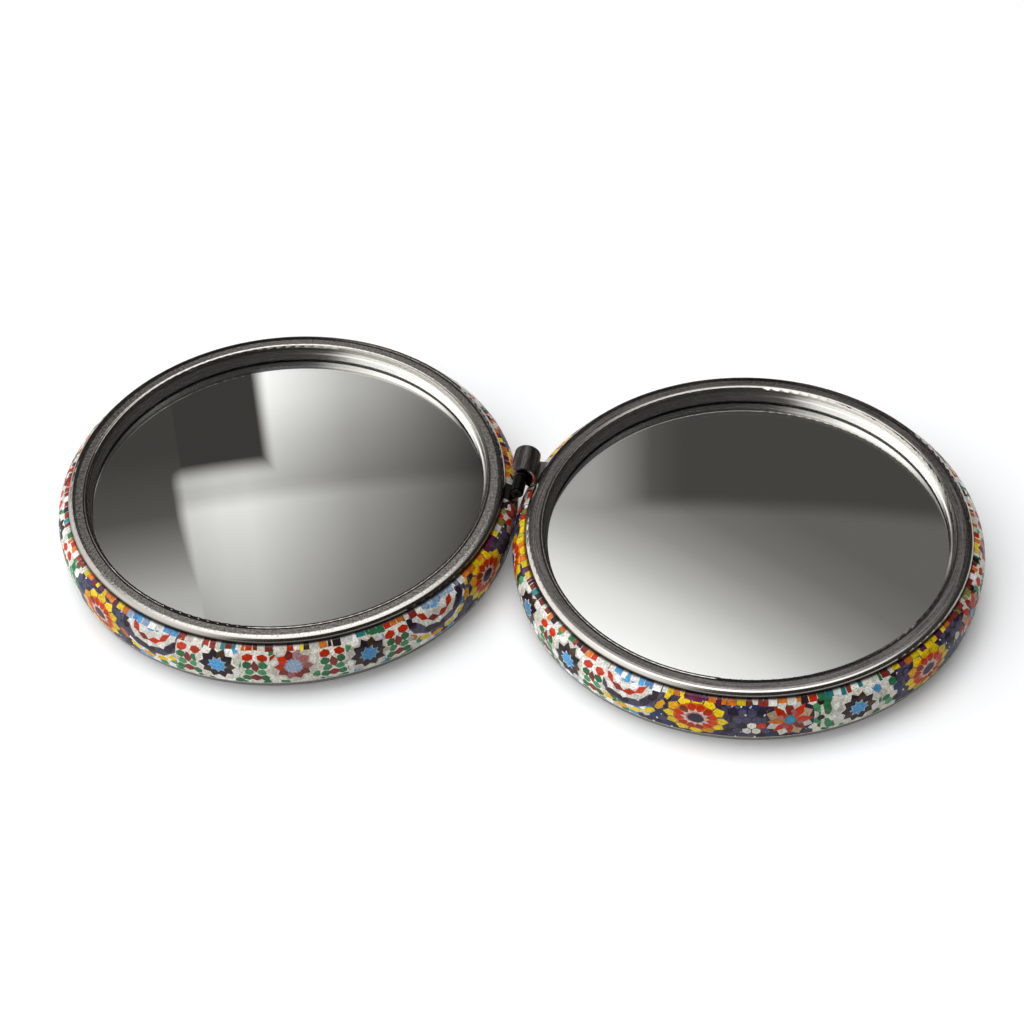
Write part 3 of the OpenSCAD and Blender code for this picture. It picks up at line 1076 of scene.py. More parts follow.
    def angles(self, start: int) -> range:
        """Returns the angles of the mesh's lines in the patch that begins at an angle."""
        return range(start, start + self.patch + 1, self.step)

    def add_side(self, mesh: bmesh.types.BMesh, inset: float, start: int, tiles: list[Tile],
                 notch: Tile) -> None:
        """Adds one patch of the side, from the mouth down to the outer face.

        Args:
            mesh: The mesh being built.
            inset: How far below the film's outside the patch lies.
            start: Angle at which the patch begins.
            tiles: The side's tiles, none on the inner skin.
            notch: Outline of the notch, which is left out.
        """
        end = sum(self.section.lengths)
        around = 2 * math.pi * self.section.radius
        xs = [math.radians(a) * self.section.radius for a in self.angles(start)]
        inside = []
        if inset == 0:
            top, foot = self.zellige.first, self.zellige.last + self.grout_reach
            inside.append(Tile(Glaze.GROUT, [(xs[0] - 1, top), (xs[-1] + 1, top),
                                             (xs[-1] + 1, foot), (xs[0] - 1, foot)]))
        for tile in tiles:
            low, high = min(p[0] for p in tile.outline), max(p[0] for p in tile.outline)
            for shift in (-around, 0.0, around):
                if low + shift < xs[-1] and high + shift > xs[0]:
                    inside.append(tile._replace(
                        outline=[(x + shift, y) for x, y in tile.outline]))
        inside.append(notch)
        lines = self.lines_down()
        guides = [[(x, line) for x in xs] for line in lines]
        guides += [[(x, 0.0)] + [(x, line) for line in lines] + [(x, end)] for x in xs[1:-1]]
        border = [(x, 0.0) for x in xs] + [(x, end) for x in xs[::-1]]

        def place(point: Point) -> tuple[Vector, Vector]:
            return self.surface(*point, inset), self.facing_out(*point, inset)
        self.add_patch(mesh, cut_patch(border, inside, guides), place, notch)

    def add_foot(self, mesh: bmesh.types.BMesh, inset: float, start: int,
                 tiles: list[Tile]) -> None:
        """Adds one wedge of the flat outer face.

        Args:
            mesh: The mesh being built.
            inset: How far above the film's outside the wedge lies.
            start: Angle at which the wedge begins.
            tiles: The face's tiles, none on the inner skin.
        """
        wedge = [(0.0, 0.0)] + [polar(self.section.foot_radius, a) for a in self.angles(start)]
        middle = math.radians(start + self.patch / 2)
        near = [t for t in tiles if self.in_wedge(t, middle)]

        def place(point: Point) -> tuple[Vector, Vector]:
            return (Vector((self.centre + point[0], point[1], inset)) * MM,
                    Vector((0, 0, -1 if inset == 0 else 1)))
        self.add_patch(mesh, cut_patch(wedge, near, []), place)

    def in_wedge(self, tile: Tile, middle: float) -> bool:
        """Tells whether a tile of the outer face may reach into a wedge round an angle."""
        count = len(tile.outline)
        x, y = (sum(p[i] for p in tile.outline) / count for i in (0, 1))
        reach = max(math.hypot(p[0] - x, p[1] - y) for p in tile.outline)
        off = abs((math.atan2(y, x) - middle + math.pi) % (2 * math.pi) - math.pi)
        beyond = min(max(off - math.radians(self.patch / 2), 0.0), math.pi / 2)
        return math.hypot(x, y) * math.sin(beyond) < reach + self.wedge_slack

    def close(self, mesh: bmesh.types.BMesh) -> None:
        """Joins all patches and both skins into one closed sheet.

        The strip that joins the skins at the mouth gets material index 1, which tells its faces
        from the skins'.
        """
        bmesh.ops.remove_doubles(mesh, verts=mesh.verts, dist=self.weld * MM)
        flaps = [f for f in mesh.faces if any(len(e.link_faces) > 2 for e in f.edges)
                 and any(e.is_boundary for e in f.edges)]
        bmesh.ops.delete(mesh, geom=flaps, context="FACES")
        rims = [e for e in mesh.edges if e.is_boundary]
        brim = (self.notch.height - 2 * self.film) * MM
        mouth = [e for e in rims if min(v.co.z for v in e.verts) > brim]
        cracks = [e for e in rims if min(v.co.z for v in e.verts) <= brim]
        bridge = bmesh.ops.bridge_loops(mesh, edges=mouth)["faces"]
        if cracks:
            bmesh.ops.holes_fill(mesh, edges=cracks)
        left = sum(e.is_boundary for e in mesh.edges)
        LOG.info("%s: %d edges and %d cracks closed, %d left", self.node, len(mouth),
                 len(cracks), left)
        glaze_of = mesh.faces.layers.float["glaze"]
        for face in bridge:
            face[glaze_of] = Glaze.BARE_WITH_SHADE.level
            face.material_index = 1
        bmesh.ops.recalc_face_normals(mesh, faces=mesh.faces)

    def smooth(self, data: bpy.types.Mesh) -> None:
        """Lets the film face as its smooth section does, and its rim as it lies."""
        facing = [Vector(v.vector) for v in data.attributes["facing"].data]
        normals = []
        for polygon in data.polygons:
            polygon.use_smooth = True
            rim = polygon.material_index == 1
            normals += [polygon.normal if rim else facing[v] for v in polygon.vertices]
            polygon.material_index = 0
        data.normals_split_custom_set(normals)
        data.attributes.remove(data.attributes["facing"])

    def build(self, material: bpy.types.Material) -> bpy.types.Object:
        """Builds the film as one closed sheet and puts it in its CAD node's place.

        Args:
            material: The printed film's material.

        Returns:
            The new piece.
        """
        mesh = bmesh.new()
        mesh.faces.layers.float.new("glaze")
        mesh.faces.layers.float.new("tone")
        mesh.verts.layers.float_vector.new("facing")
        for inset in (0.0, self.film):
            self.skin(mesh, inset)
        self.close(mesh)
        piece = linked_piece(self.node + "_print", mesh, material, self.smooth)
        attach(piece, self.body)
        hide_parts(self.node)
        LOG.info("%s: %d triangles", piece.name, len(piece.data.polygons))
        return piece


@dataclass(frozen=True)
class PrintedFilm:
    """Polyester film, printed on its back and laid over the case under clear gloss."""

    name: str = "printed_polyester_film"
    mottle: float = 0.3
    ripple: float = 3.0
    # height of the crease under the bezel, then the reach and darkest level of the painted shade
    # below it
    crease: float = 8.42
    crease_shade_reach: float = 0.17
    crease_shade_level: float = 0.12

    def make(self) -> bpy.types.Material:
        """Makes the material.

        The print gives flat glaze colours with a faint mottle, and painted shade darkens it in the
        crease below the bezel. The gloss over it gives sharp reflections that the film's slack
        bends a little.
        """
        sketch = Sketch(self.name)
        glaze = sketch.add("Attribute", attribute_name="glaze").outputs["Fac"]
        tone = sketch.add("Attribute", attribute_name="tone").outputs["Fac"]
        stops = {i / len(Glaze): linear(kind.value) for i, kind in enumerate(Glaze)}
        colour = set_ramp(sketch.add("ValToRGB", {"Fac": glaze}), stops, "CONSTANT")
        shade = sketch.between(tone, 0, 1, 0.72, 1.06)
        print_noise = sketch.between(sketch.noise(self.mottle, detail=5, roughness=0.7),
                                     0.3, 0.7, 0.6, 1.25)
        level = sketch.sum("MULTIPLY", shade, print_noise)
        # painted shade: the print darkens towards the crease under the bezel's lip
        height = sketch.add("SeparateXYZ", {0: sketch.place()}).outputs[2]
        painted_crease_shade = sketch.between(height, (self.crease - self.crease_shade_reach) * MM,
                               self.crease * MM, 1.0, self.crease_shade_level)
        level = sketch.sum("MULTIPLY", level, painted_crease_shade)
        grey = sketch.add("CombineColor", {0: level, 1: level, 2: level}).outputs[0]
        colour = sketch.blend(1.0, colour, grey, "MULTIPLY")
        slack = sketch.bump(sketch.noise(self.ripple, detail=1), 0.02)
        return sketch.finish(Base_Color=colour, Roughness=0.6, Specular_IOR_Level=0.0,
                             Coat_Weight=0.4, Coat_Roughness=0.08, Coat_Normal=slack)


class Grain(Enum):
    """How the flat of a bezel was worked."""

    TURNED = "turned"
    TUMBLED = "tumbled"


@dataclass(frozen=True)
class BlackNickel:
    """Pressed steel, plated with black nickel, its flat worked and its edges polished bright.

    Attributes:
        name: Name of the material.
        centre: Where the ring's centre lies along X.
        inner: Radius at which the worked flat begins.
        outer: Radius at which it ends.
        top: Height of the ring's top.
        grain: How the flat was worked.
        plating: Colour of the plated flat as sRGB hex.
        roughness: Roughness of the flat.
        lip: Colour of the polished edges as sRGB hex.
        grain_depth: Depth of the flat's grain in millimetres.
        roll: Width over which the flat rolls down to its inner lip, in millimetres.
        roll_depth: How far it rolls down there, in millimetres.
        fall_depth: How far it falls towards its outer edge, in millimetres.
    """

    name: str
    centre: float
    inner: float
    outer: float
    top: float
    grain: Grain
    plating: str
    roughness: float
    lip: str
    grain_depth: float = 0.012
    roll: float = 0.55
    roll_depth: float = 0.24
    fall_depth: float = 0.1

    def make(self) -> bpy.types.Material:
        """Makes the material.

        The dark plating is thin on the rolled edges, which are polished and show pale nickel.
        The flat keeps the fine grain of its working, and the wall down to the glass is dark.
        Painted shade darkens the outer skirt below the lip.
        """
        sketch = Sketch(self.name)
        place = sketch.place()
        shifted = sketch.add("VectorMath", {0: place, 1: (self.centre * MM, 0, 0)},
                             operation="SUBTRACT").outputs[0]
        parts = sketch.add("SeparateXYZ", {0: shifted}).outputs
        level = sketch.add("CombineXYZ", {0: parts[0], 1: parts[1], 2: 0.0}).outputs[0]
        radius = sketch.add("VectorMath", {0: level}, operation="LENGTH").outputs["Value"]
        blur = 0.06
        rise = sketch.between(radius, (self.inner - blur) * MM, (self.inner + blur) * MM)
        fall = sketch.between(radius, (self.outer - blur) * MM, (self.outer + blur) * MM, 1.0, 0.0)
        flat = sketch.sum("MULTIPLY", rise, fall)
        wall = sketch.between(parts[2], (self.top - 0.8) * MM, (self.top - 0.5) * MM, 1.0, 0.0)
        inside = sketch.between(radius, (self.inner - 0.35) * MM, (self.inner - 0.2) * MM, 1.0, 0.0)
        wall = sketch.sum("MULTIPLY", wall, inside)
        fine = self.grain_level(sketch, level, radius)
        colour = sketch.blend(flat, linear(self.lip), linear(self.plating))
        colour = sketch.blend(wall, colour, linear("CFCCC8"))
        # painted shade: the outer skirt below the lip, in the crease against the film, is painted
        # near black
        crease = sketch.between(parts[2], (self.top - 0.62) * MM, (self.top - 0.34) * MM, 1.0, 0.0)
        outside = sketch.between(radius, (self.outer + 0.2) * MM, (self.outer + 0.4) * MM)
        colour = sketch.blend(sketch.sum("MULTIPLY", crease, outside), colour, linear("2A2623"))
        worn = sketch.between(fine, 0.3, 0.7, 0.4, 1.6)
        grey = sketch.add("CombineColor", {0: worn, 1: worn, 2: worn}).outputs[0]
        colour = sketch.blend(sketch.sum("MULTIPLY", flat, 1.0), colour,
                              sketch.blend(1.0, colour, grey, "MULTIPLY"))
        roughness = sketch.between(flat, 0, 1, 0.2, self.roughness)
        roughness = sketch.sum("ADD", roughness, sketch.sum(
            "MULTIPLY", flat, sketch.between(fine, 0.2, 0.8, -0.06, 0.1)))
        relief = sketch.sum("MULTIPLY", sketch.sum("SUBTRACT", fine, 0.5), flat)
        relief = sketch.sum("MULTIPLY", relief, self.grain_depth)
        rolled = sketch.between(radius, (self.inner - self.roll) * MM,
                                (self.inner + self.roll * 0.4) * MM, 0.0, self.roll_depth)
        falling = sketch.between(radius, (self.outer - self.roll) * MM,
                                 (self.outer + self.roll * 0.4) * MM, self.fall_depth, 0.0)
        relief = sketch.sum("ADD", relief, sketch.sum("ADD", rolled, falling))
        normal = sketch.bump(relief, 1.0)
        return sketch.finish(Base_Color=colour, Metallic=1.0, Roughness=roughness,
                             Normal=normal)

    def grain_level(self, sketch: Sketch, level: Any, radius: Any) -> bpy.types.NodeSocket:
        """Returns the flat's grain: hairlines round the ring, or a tumbled mottle."""
        if self.grain is Grain.TUMBLED:
            coarse = sketch.noise(0.42, level, 4, 0.7)
            fine = sketch.noise(0.13, level, 2)
            return sketch.sum("ADD", sketch.sum("MULTIPLY", coarse, 0.6),
                              sketch.sum("MULTIPLY", fine, 0.4))
        along = sketch.add("VectorMath", {0: level, "Scale": 0.012}, operation="SCALE").outputs[0]
        across = sketch.add("CombineXYZ", {2: radius}).outputs[0]
        lines = sketch.add("VectorMath", {0: along, 1: across}, operation="ADD").outputs[0]
        return sketch.sum("ADD", sketch.sum("MULTIPLY", sketch.noise(0.09, lines, 3, 0.6), 0.75),
                          sketch.sum("MULTIPLY", sketch.noise(0.5, level, 3), 0.25))


@dataclass(frozen=True)
class Metal:
    """A plain metal with fine streaks along one axis.

    Attributes:
        name: Name of the material.
        colour: Its colour as sRGB hex.
        roughness: Its roughness.
        streak: How far the streaks are stretched along X, Y and Z.
        grain: Width of a streak in millimetres.
        depth: Depth of the streaks in millimetres.
    """

    name: str
    colour: str
    roughness: float
    streak: tuple[float, float, float] = (1, 1, 1)
    grain: float = 0.1
    depth: float = 0.004

    def make(self) -> bpy.types.Material:
        """Makes the material, with streaks that vary its tone and roughness."""
        sketch = Sketch(self.name)
        shape = tuple(1 / s for s in self.streak)
        place = sketch.add("Mapping", {"Vector": sketch.place(), "Scale": shape}).outputs[0]
        grain = sketch.noise(self.grain, place, 3)
        cloud = sketch.noise(1.5, detail=2)
        tone = sketch.sum("MULTIPLY", sketch.between(grain, 0.3, 0.7, 0.8, 1.1),
                          sketch.between(cloud, 0.3, 0.7, 0.92, 1.05))
        grey = sketch.add("CombineColor", {0: tone, 1: tone, 2: tone}).outputs[0]
        colour = sketch.blend(1.0, linear(self.colour), grey, "MULTIPLY")
        rough = sketch.between(grain, 0.3, 0.7, self.roughness * 0.85, self.roughness * 1.15)
        return sketch.finish(Base_Color=colour, Metallic=1.0, Roughness=rough,
                             Normal=sketch.bump(grain, self.depth))


@dataclass(frozen=True)
class BrushedHood:
    """Rolled steel sheet, brushed along the pin and plated dark, with bare cut ends.

    Attributes:
        name: Name of the material.
        colour: Colour of the plating as sRGB hex.
        bare: Colour of the cut ends as sRGB hex.
        grain: Width of a brush mark in millimetres.
        stretch: How much longer than wide a brush mark is.
    """

    name: str = "brushed_hood_steel"
    colour: str = "6F6A66"
    bare: str = "F0ECE4"
    grain: float = 0.16
    stretch: float = 16

    def make(self) -> bpy.types.Material:
        """Makes the material: brush marks along Y, and bright metal where it was cut."""
        sketch = Sketch(self.name)
        place = sketch.add("Mapping", {"Vector": sketch.place(),
                                       "Scale": (1, 1 / self.stretch, 1)}).outputs[0]
        marks = sketch.noise(self.grain, place, 4, 0.65)
        tone = sketch.between(marks, 0.3, 0.7, 0.45, 1.6)
        grey = sketch.add("CombineColor", {0: tone, 1: tone, 2: tone}).outputs[0]
        colour = sketch.blend(1.0, linear(self.colour), grey, "MULTIPLY")
        normal = sketch.add("TexCoord").outputs["Normal"]
        along = sketch.add("SeparateXYZ", {0: normal}).outputs[1]
        cut = sketch.between(sketch.sum("ABSOLUTE", along), 0.6, 0.9)
        colour = sketch.blend(cut, colour, linear(self.bare))
        return sketch.finish(Base_Color=colour, Metallic=1.0,
                             Roughness=sketch.between(cut, 0, 1, 0.33, 0.2),
                             Normal=sketch.bump(marks, 0.01))


@dataclass(frozen=True)
class FloatGlass:
    """Float glass, polished, with a faint green body colour."""

    name: str = "float_glass"

    def make(self) -> bpy.types.Material:
        """Makes the material: clear glass whose faces carry a trace of polish haze."""
        sketch = Sketch(self.name)
        haze = sketch.between(sketch.noise(6.0), 0.4, 0.7, 0.0, 0.004)
        return sketch.finish(Base_Color=linear("FBFCFB"), Roughness=haze, IOR=1.52,
                             Transmission_Weight=1.0)


@dataclass(frozen=True)
class Silver:
    """Silver, deposited wet on the back of the glass, darker and rougher towards its edge."""

    name: str
    centre: float
    radius: float

    def make(self) -> bpy.types.Material:
        """Makes the material: a true mirror that darkens in its last tenth of a millimetre."""
        sketch = Sketch(self.name)
        shifted = sketch.add("VectorMath", {0: sketch.place(), 1: (self.centre * MM, 0, 0)},
                             operation="SUBTRACT").outputs[0]
        parts = sketch.add("SeparateXYZ", {0: shifted}).outputs
        level = sketch.add("CombineXYZ", {0: parts[0], 1: parts[1], 2: 0.0}).outputs[0]
        radius = sketch.add("VectorMath", {0: level}, operation="LENGTH").outputs["Value"]
        edge = sketch.between(radius, (self.radius - 0.5) * MM, self.radius * MM)
        colour = sketch.blend(edge, linear("F1F1EE"), linear("6E6A62"))
        return sketch.finish(Base_Color=colour, Metallic=1.0,
                             Roughness=sketch.between(edge, 0, 1, 0.0, 0.3))


@dataclass(frozen=True)
class Soft:
    """A plain non-metal: moulded plastic, foam, paper tape or backing paint.

    Attributes:
        name: Name of the material.
        colour: Its colour as sRGB hex.
        shadow: The colour of its darker specks.
        roughness: Its roughness.
        grain: Size of its grain in millimetres.
        depth: Depth of its grain in millimetres.
    """

    name: str
    colour: str
    shadow: str
    roughness: float
    grain: float
    depth: float

    def make(self) -> bpy.types.Material:
        """Makes the material, with grain in its tone and its relief."""
        sketch = Sketch(self.name)
        grain = sketch.noise(self.grain, detail=4)
        mix = sketch.between(grain, 0.35, 0.65)
        colour = sketch.blend(mix, linear(self.shadow), linear(self.colour))
        return sketch.finish(Base_Color=colour, Roughness=self.roughness,
                             Normal=sketch.bump(grain, self.depth))


@dataclass
class Silvering:
    """The silvered back of a mirror, with its coat of paint, just inside the glass.

    Attributes:
        mirror: The glass's CAD node.
        body: The body that it moves with.
        inset: How far it stays off the glass's edge.
        lift: How far above the back of the glass it lies.
        thickness: Thickness of silver and paint together.
        bevel: Width of the worn bevel round its edge.
        corners: Number of corners of its outline.
    """

    mirror: str
    body: str
    inset: float = 0.05
    lift: float = 0.01
    thickness: float = 0.03
    bevel: float = 0.01
    corners: int = 180

    def build(self) -> bpy.types.Object:
        """Builds the layer inside the glass and returns it."""
        low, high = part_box(self.mirror)
        centre = (low.x + high.x) / 2 / MM
        radius = (high.x - low.x) / 2 / MM - self.inset
        foot = low.z / MM + self.lift
        levels = [(radius - self.bevel, foot), (radius, foot + self.bevel),
                  (radius, foot + self.thickness - self.bevel),
                  (radius - self.bevel, foot + self.thickness)]
        mesh = bmesh.new()
        loops = []
        for size, height in levels:
            loops.append([mesh.verts.new(Vector((centre + x, y, height)) * MM)
                          for _, (x, y) in ring(self.corners, size)])
        for lower, upper in zip(loops, loops[1:]):
            for i in range(self.corners):
                j = (i + 1) % self.corners
                mesh.faces.new((lower[i], lower[j], upper[j], upper[i]))
        mesh.faces.new(loops[0][::-1])
        mesh.faces.new(loops[-1])
        finish = Silver("wet_silvering_" + self.body, centre, radius)
        piece = linked_piece(self.mirror + "_silvering", mesh, finish.make())
        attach(piece, self.body)
        LOG.info("%s: radius %.2f mm", piece.name, radius)
        return piece


@dataclass
class Half:
    """One half of the compact: its film, bezel, glass and what lies inside.

    Attributes:
        body: The body's name, base or lid.
        grain: How its bezel was worked.
        notch: Its hinge notch.
        motifs: The motifs round its side.
        facing: Angle of the hinge as seen from its centre.
        seed: Seed of its print.
        plating: Colour and roughness of its bezel's flat, and the colour of its edges.
        blisters: Lumps in its film.
        bezel_flat: Inner and outer radius of the bezel's worked flat.
        print_depth: How far below the bezel the print reaches.
        print_start: How far above the bezel's lower edge it begins.
        face_margin: Width of the plain border round the outer face.
    """

    body: str
    grain: Grain
    notch: Notch
    motifs: tuple[Placed, ...]
    facing: float
    seed: int
    plating: tuple[str, float, str]
    blisters: tuple[tuple[float, float, float], ...] = ()
    bezel_flat: Point = (30.74, 32.42)
    print_depth: float = 7.1
    print_start: float = 0.35
    face_margin: float = 1.2

    def build(self, frame: dict, finishes: dict[str, bpy.types.Material]) -> None:
        """Builds the half's own pieces and dresses its CAD nodes.

        Args:
            frame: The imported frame.
            finishes: The shared materials by name.
        """
        low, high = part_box("mosaic_wrap_" + self.body)
        centre = (low.x + high.x) / 2 / MM
        section = Section(radius=(high.y - low.y) / 2 / MM, top=high.z / MM)
        low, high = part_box("bezel_" + self.body)
        skirt = section.below_mouth((high.y - low.y) / 2 / MM)
        zellige = Zellige(self.seed, self.motifs, section.radius, skirt - self.print_start,
                          skirt + self.print_depth, skirt, section.foot_radius - self.face_margin)
        wrap = MosaicWrap("mosaic_wrap_" + self.body, self.body, centre, section, self.notch,
                          zellige, self.facing, blisters=self.blisters)
        wrap.build(finishes["film"])
        bezel = BlackNickel("black_nickel_bezel_" + self.body, centre, *self.bezel_flat,
                            high.z / MM, self.grain, *self.plating)
        dress(frame, "bezel_" + self.body, bezel.make())
        Silvering("mirror_" + self.body, self.body).build()
        for part, finish in (("mirror", "glass"), ("case_shell", "tinplate"), ("core", "abs"),
                             ("mirror_pad", "foam"), ("bezel_tape", "tape"),
                             ("magnets", "magnet"), ("leaf", "dark_steel_and_shade"), ("rivets", "rivet")):
            dress(frame, part + "_" + self.body, finishes[finish])


def dress(frame: dict, node: str, material: bpy.types.Material) -> None:
    """Gives a carried-over CAD node its material.

    Args:
        frame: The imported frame.
        node: The node's name.
        material: The material for all of its slots.
    """
    piece = frame["nodes"][node]
    if not piece.data.materials:
        piece.data.materials.append(material)
    for held in piece.material_slots:
        held.material = material
    LOG.info("%s: %s", node, material.name)


@dataclass(frozen=True)
class Hinge:
    """The hinge between the halves: hood, pin and washer."""

    def build(self, frame: dict) -> None:
        """Dresses the hinge's CAD nodes."""
        # partly painted shade: the pin's near-black colour also stands for the dark gap between the
        # halves at the hinge
        steel = Metal("drawn_steel_pin", "4A4643", 0.28, (1, 8, 1), 0.08)
        washer = Metal("stamped_steel_washer", "8A8681", 0.35)
        dress(frame, "hinge_hood", BrushedHood().make())
        dress(frame, "hinge_pin", steel.make())
        dress(frame, "hinge_washer", washer.make())


@dataclass(frozen=True)
class PhotographCamera:
    """The photograph's viewpoint.

    Attributes:
        distance: Distance from the aim to the lens.
        elevation: Angle above level in degrees.
        azimuth: Angle from straight in front towards +X in degrees.
        roll: Turn about the view in degrees.
        aim: The point that the middle of the picture shows.
        focal_pixels: Focal length in pixels of the picture.
        image_width: Width of the picture in pixels.
        sensor: Width of Blender's sensor.
    """

    distance: float = 425.73
    elevation: float = 44.731
    azimuth: float = 11.83
    roll: float = -2.573
    aim: tuple[float, float, float] = (-0.257, -0.827, 9.5)
    focal_pixels: float = 2850
    image_width: float = 1024
    sensor: float = 36

    def build(self) -> None:
        """Puts the camera in place and makes it the scene's."""
        across, up = math.radians(self.azimuth), math.radians(self.elevation)
        back = Vector((math.sin(across) * math.cos(up), -math.cos(across) * math.cos(up),
                       math.sin(up)))
        right = Vector((0, 0, 1)).cross(back).normalized()
        above = back.cross(right)
        roll = math.radians(self.roll)
        rolled = right * math.cos(roll) + above * math.sin(roll)
        top = above * math.cos(roll) - right * math.sin(roll)
        lens = bpy.data.cameras.new("photograph_camera")
        lens.sensor_fit = "HORIZONTAL"
        lens.sensor_width = self.sensor
        lens.lens = self.focal_pixels / self.image_width * self.sensor
        lens.clip_start, lens.clip_end = 0.01, 20
        camera = bpy.data.objects.new("photograph_camera", lens)
        place = Matrix((rolled, top, back)).transposed().to_4x4()
        place.translation = (Vector(self.aim) + back * self.distance) * MM
        camera.matrix_world = place
        bpy.context.scene.collection.objects.link(camera)
        bpy.context.scene.camera = camera


@dataclass(frozen=True)
class Studio:
    """The pale table and the soft light round it.

    A softbox hangs over the table, behind its left corner, and a tall diffuser stands on its
    left, in an unlit room.
    The mirrors show the room's far side: a bright pane with a post in the left one, and light
    that grows towards the ceiling in the right one. Angles are in degrees, azimuth runs from
    straight behind the object towards +X, and levels are brightnesses.
    """

    table_half: float = 15000
    table_drop: float = 0.05
    glow: float = 0.16
    room_level: float = 0.05
    softbox_azimuth: float = -40
    softbox_height: float = 83
    softbox: tuple[Point, ...] = ((0, 3.3), (18, 3.1), (27, 2.1), (34, 0.0))
    softbox_front: Point = (-0.26, -0.16)
    softbox_slant: float = 0.85
    diffuser: tuple[Point, ...] = (
        (-180, 0.07), (-166, 0.12), (-152, 1.5), (-112, 2.2), (-66, 1.9), (-50, 0.0), (40, 0.0),
        (80, 0.06), (130, 0.05), (160, 0.05), (180, 0.07))
    diffuser_top: Point = (66, 58)
    view: tuple[Point, ...] = ((-36, 0.0), (-27, 1.0), (4, 1.0), (14, 0.0))
    view_foot: Point = (33, 40)
    dawn_slope: float = -0.35
    dawn_middle: float = -5.25
    dawn: tuple[Point, ...] = (
        (44.5, 0.14), (45.4, 0.19), (46.2, 0.31), (47.0, 0.53), (47.8, 0.84), (49, 1.15))
    below_dawn: tuple[Point, ...] = (
        (-11, 0.46), (-9.5, 0.38), (-8.6, 0.22), (-7.9, 0.1), (-7, 0.067), (0, 0.067))
    dawn_edge: Point = (44.5, 45.0)
    pane_and_dawn: Point = (-12.3, -11.3)
    pane_across: tuple[Point, ...] = (
        (-21.3, 0.0), (-20.9, 0.7), (-20, 0.82), (-19.2, 0.83), (-17.8, 0.6), (-16.2, 0.36),
        (-14, 0.165), (-12.5, 0.05))
    pane_up: tuple[Point, ...] = (
        (41.4, 1.8), (42.2, 1.55), (43, 1.1), (43.8, 0.77), (43.95, 0.78), (44.25, 1.08),
        (45, 0.9), (45.8, 0.73), (46.6, 0.58), (48, 0.5))
    post_across: Point = (-18.75, -18.25)
    post_up: Point = (43.2, 43.7)
    left_of_pane: tuple[Point, ...] = (
        (43, 0.06), (44.2, 0.1), (44.6, 0.17), (45, 0.25), (45.4, 0.36), (45.8, 0.48), (47, 0.6))

    def curve(self, tree: bpy.types.NodeTree, value: Any,
              stops: tuple[Point, ...]) -> bpy.types.NodeSocket:
        """Looks a value up on a curve of stops and returns the result.

        Args:
            tree: The world's node tree.
            value: What is looked up.
            stops: Places and values of the curve.

        Returns:
            The looked-up value.
        """
        low, high = stops[0][0], stops[-1][0]
        least = min(level for _, level in stops)
        most = max(level for _, level in stops)
        share = add_node(tree, "MapRange", {"Value": value, "From Min": low, "From Max": high})
        places = {(at - low) / (high - low): (level - least) / (most - least)
                  for at, level in stops}
        ramp = add_node(tree, "ValToRGB", {"Fac": share.outputs["Result"]})
        looked = set_ramp(ramp, places)
        back = add_node(tree, "MapRange", {"Value": looked, "To Min": least, "To Max": most})
        return back.outputs["Result"]

    def light(self) -> None:
        """Builds the world's light."""
        world = bpy.data.worlds.new("soft_studio")
        bpy.context.scene.world = world
        world.use_nodes = True
        tree = world.node_tree
        tree.nodes.clear()

        def step(operation: str, *values: Any) -> bpy.types.NodeSocket:
            return add_node(tree, "Math", dict(enumerate(values)), operation=operation).outputs[0]

        def rise(value: Any, between: Point) -> bpy.types.NodeSocket:
            node = add_node(tree, "MapRange", {"Value": value, "From Min": between[0],
                                               "From Max": between[1]},
                            interpolation_type="SMOOTHSTEP")
            return node.outputs["Result"]
        direction = add_node(tree, "TexCoord").outputs["Generated"]
        parts = add_node(tree, "SeparateXYZ", {0: direction}).outputs
        elevation = step("DEGREES", step("ARCSINE", parts[2]))
        azimuth = step("DEGREES", step("ARCTAN2", parts[0], parts[1]))

        lift = step("MULTIPLY", step("SUBTRACT", azimuth, self.dawn_middle), self.dawn_slope)
        dawn = self.curve(tree, step("ADD", elevation, lift), self.dawn)
        below = self.curve(tree, azimuth, self.below_dawn)
        above = rise(elevation, self.dawn_edge)
        right = step("ADD", step("MULTIPLY", dawn, above),
                     step("MULTIPLY", below, step("SUBTRACT", 1.0, above)))
        pane = step("MULTIPLY", self.curve(tree, azimuth, self.pane_across),
                    self.curve(tree, elevation, self.pane_up))
        clear = step("MAXIMUM", rise(azimuth, self.post_across), rise(elevation, self.post_up))
        pane = step("MULTIPLY", pane, clear)
        beside = step("MULTIPLY", self.curve(tree, elevation, self.left_of_pane),
                      step("LESS_THAN", azimuth, self.pane_across[1][0]))
        left = step("MAXIMUM", pane, beside)
        on_right = rise(azimuth, self.pane_and_dawn)
        seen = step("ADD", step("MULTIPLY", right, on_right),
                    step("MULTIPLY", left, step("SUBTRACT", 1.0, on_right)))
        level = step("MULTIPLY", step("MULTIPLY", seen, rise(elevation, self.view_foot)),
                     self.curve(tree, azimuth, self.view))
        up, turn = math.radians(self.softbox_height), math.radians(self.softbox_azimuth)
        axis = (math.sin(turn) * math.cos(up), math.cos(turn) * math.cos(up), math.sin(up))
        along = add_node(tree, "VectorMath", {0: direction, 1: axis},
                         operation="DOT_PRODUCT").outputs["Value"]
        off_axis = step("DEGREES", step("ARCCOSINE", along))
        slant = step("MULTIPLY", step("MAXIMUM", parts[0], 0.0), self.softbox_slant)
        overhead = step("MULTIPLY", self.curve(tree, off_axis, self.softbox),
                        rise(step("SUBTRACT", parts[1], slant), self.softbox_front))
        tall = step("MULTIPLY", self.curve(tree, azimuth, self.diffuser),
                    rise(elevation, self.diffuser_top))
        for part in (overhead, tall, self.room_level):
            level = step("MAXIMUM", level, part)
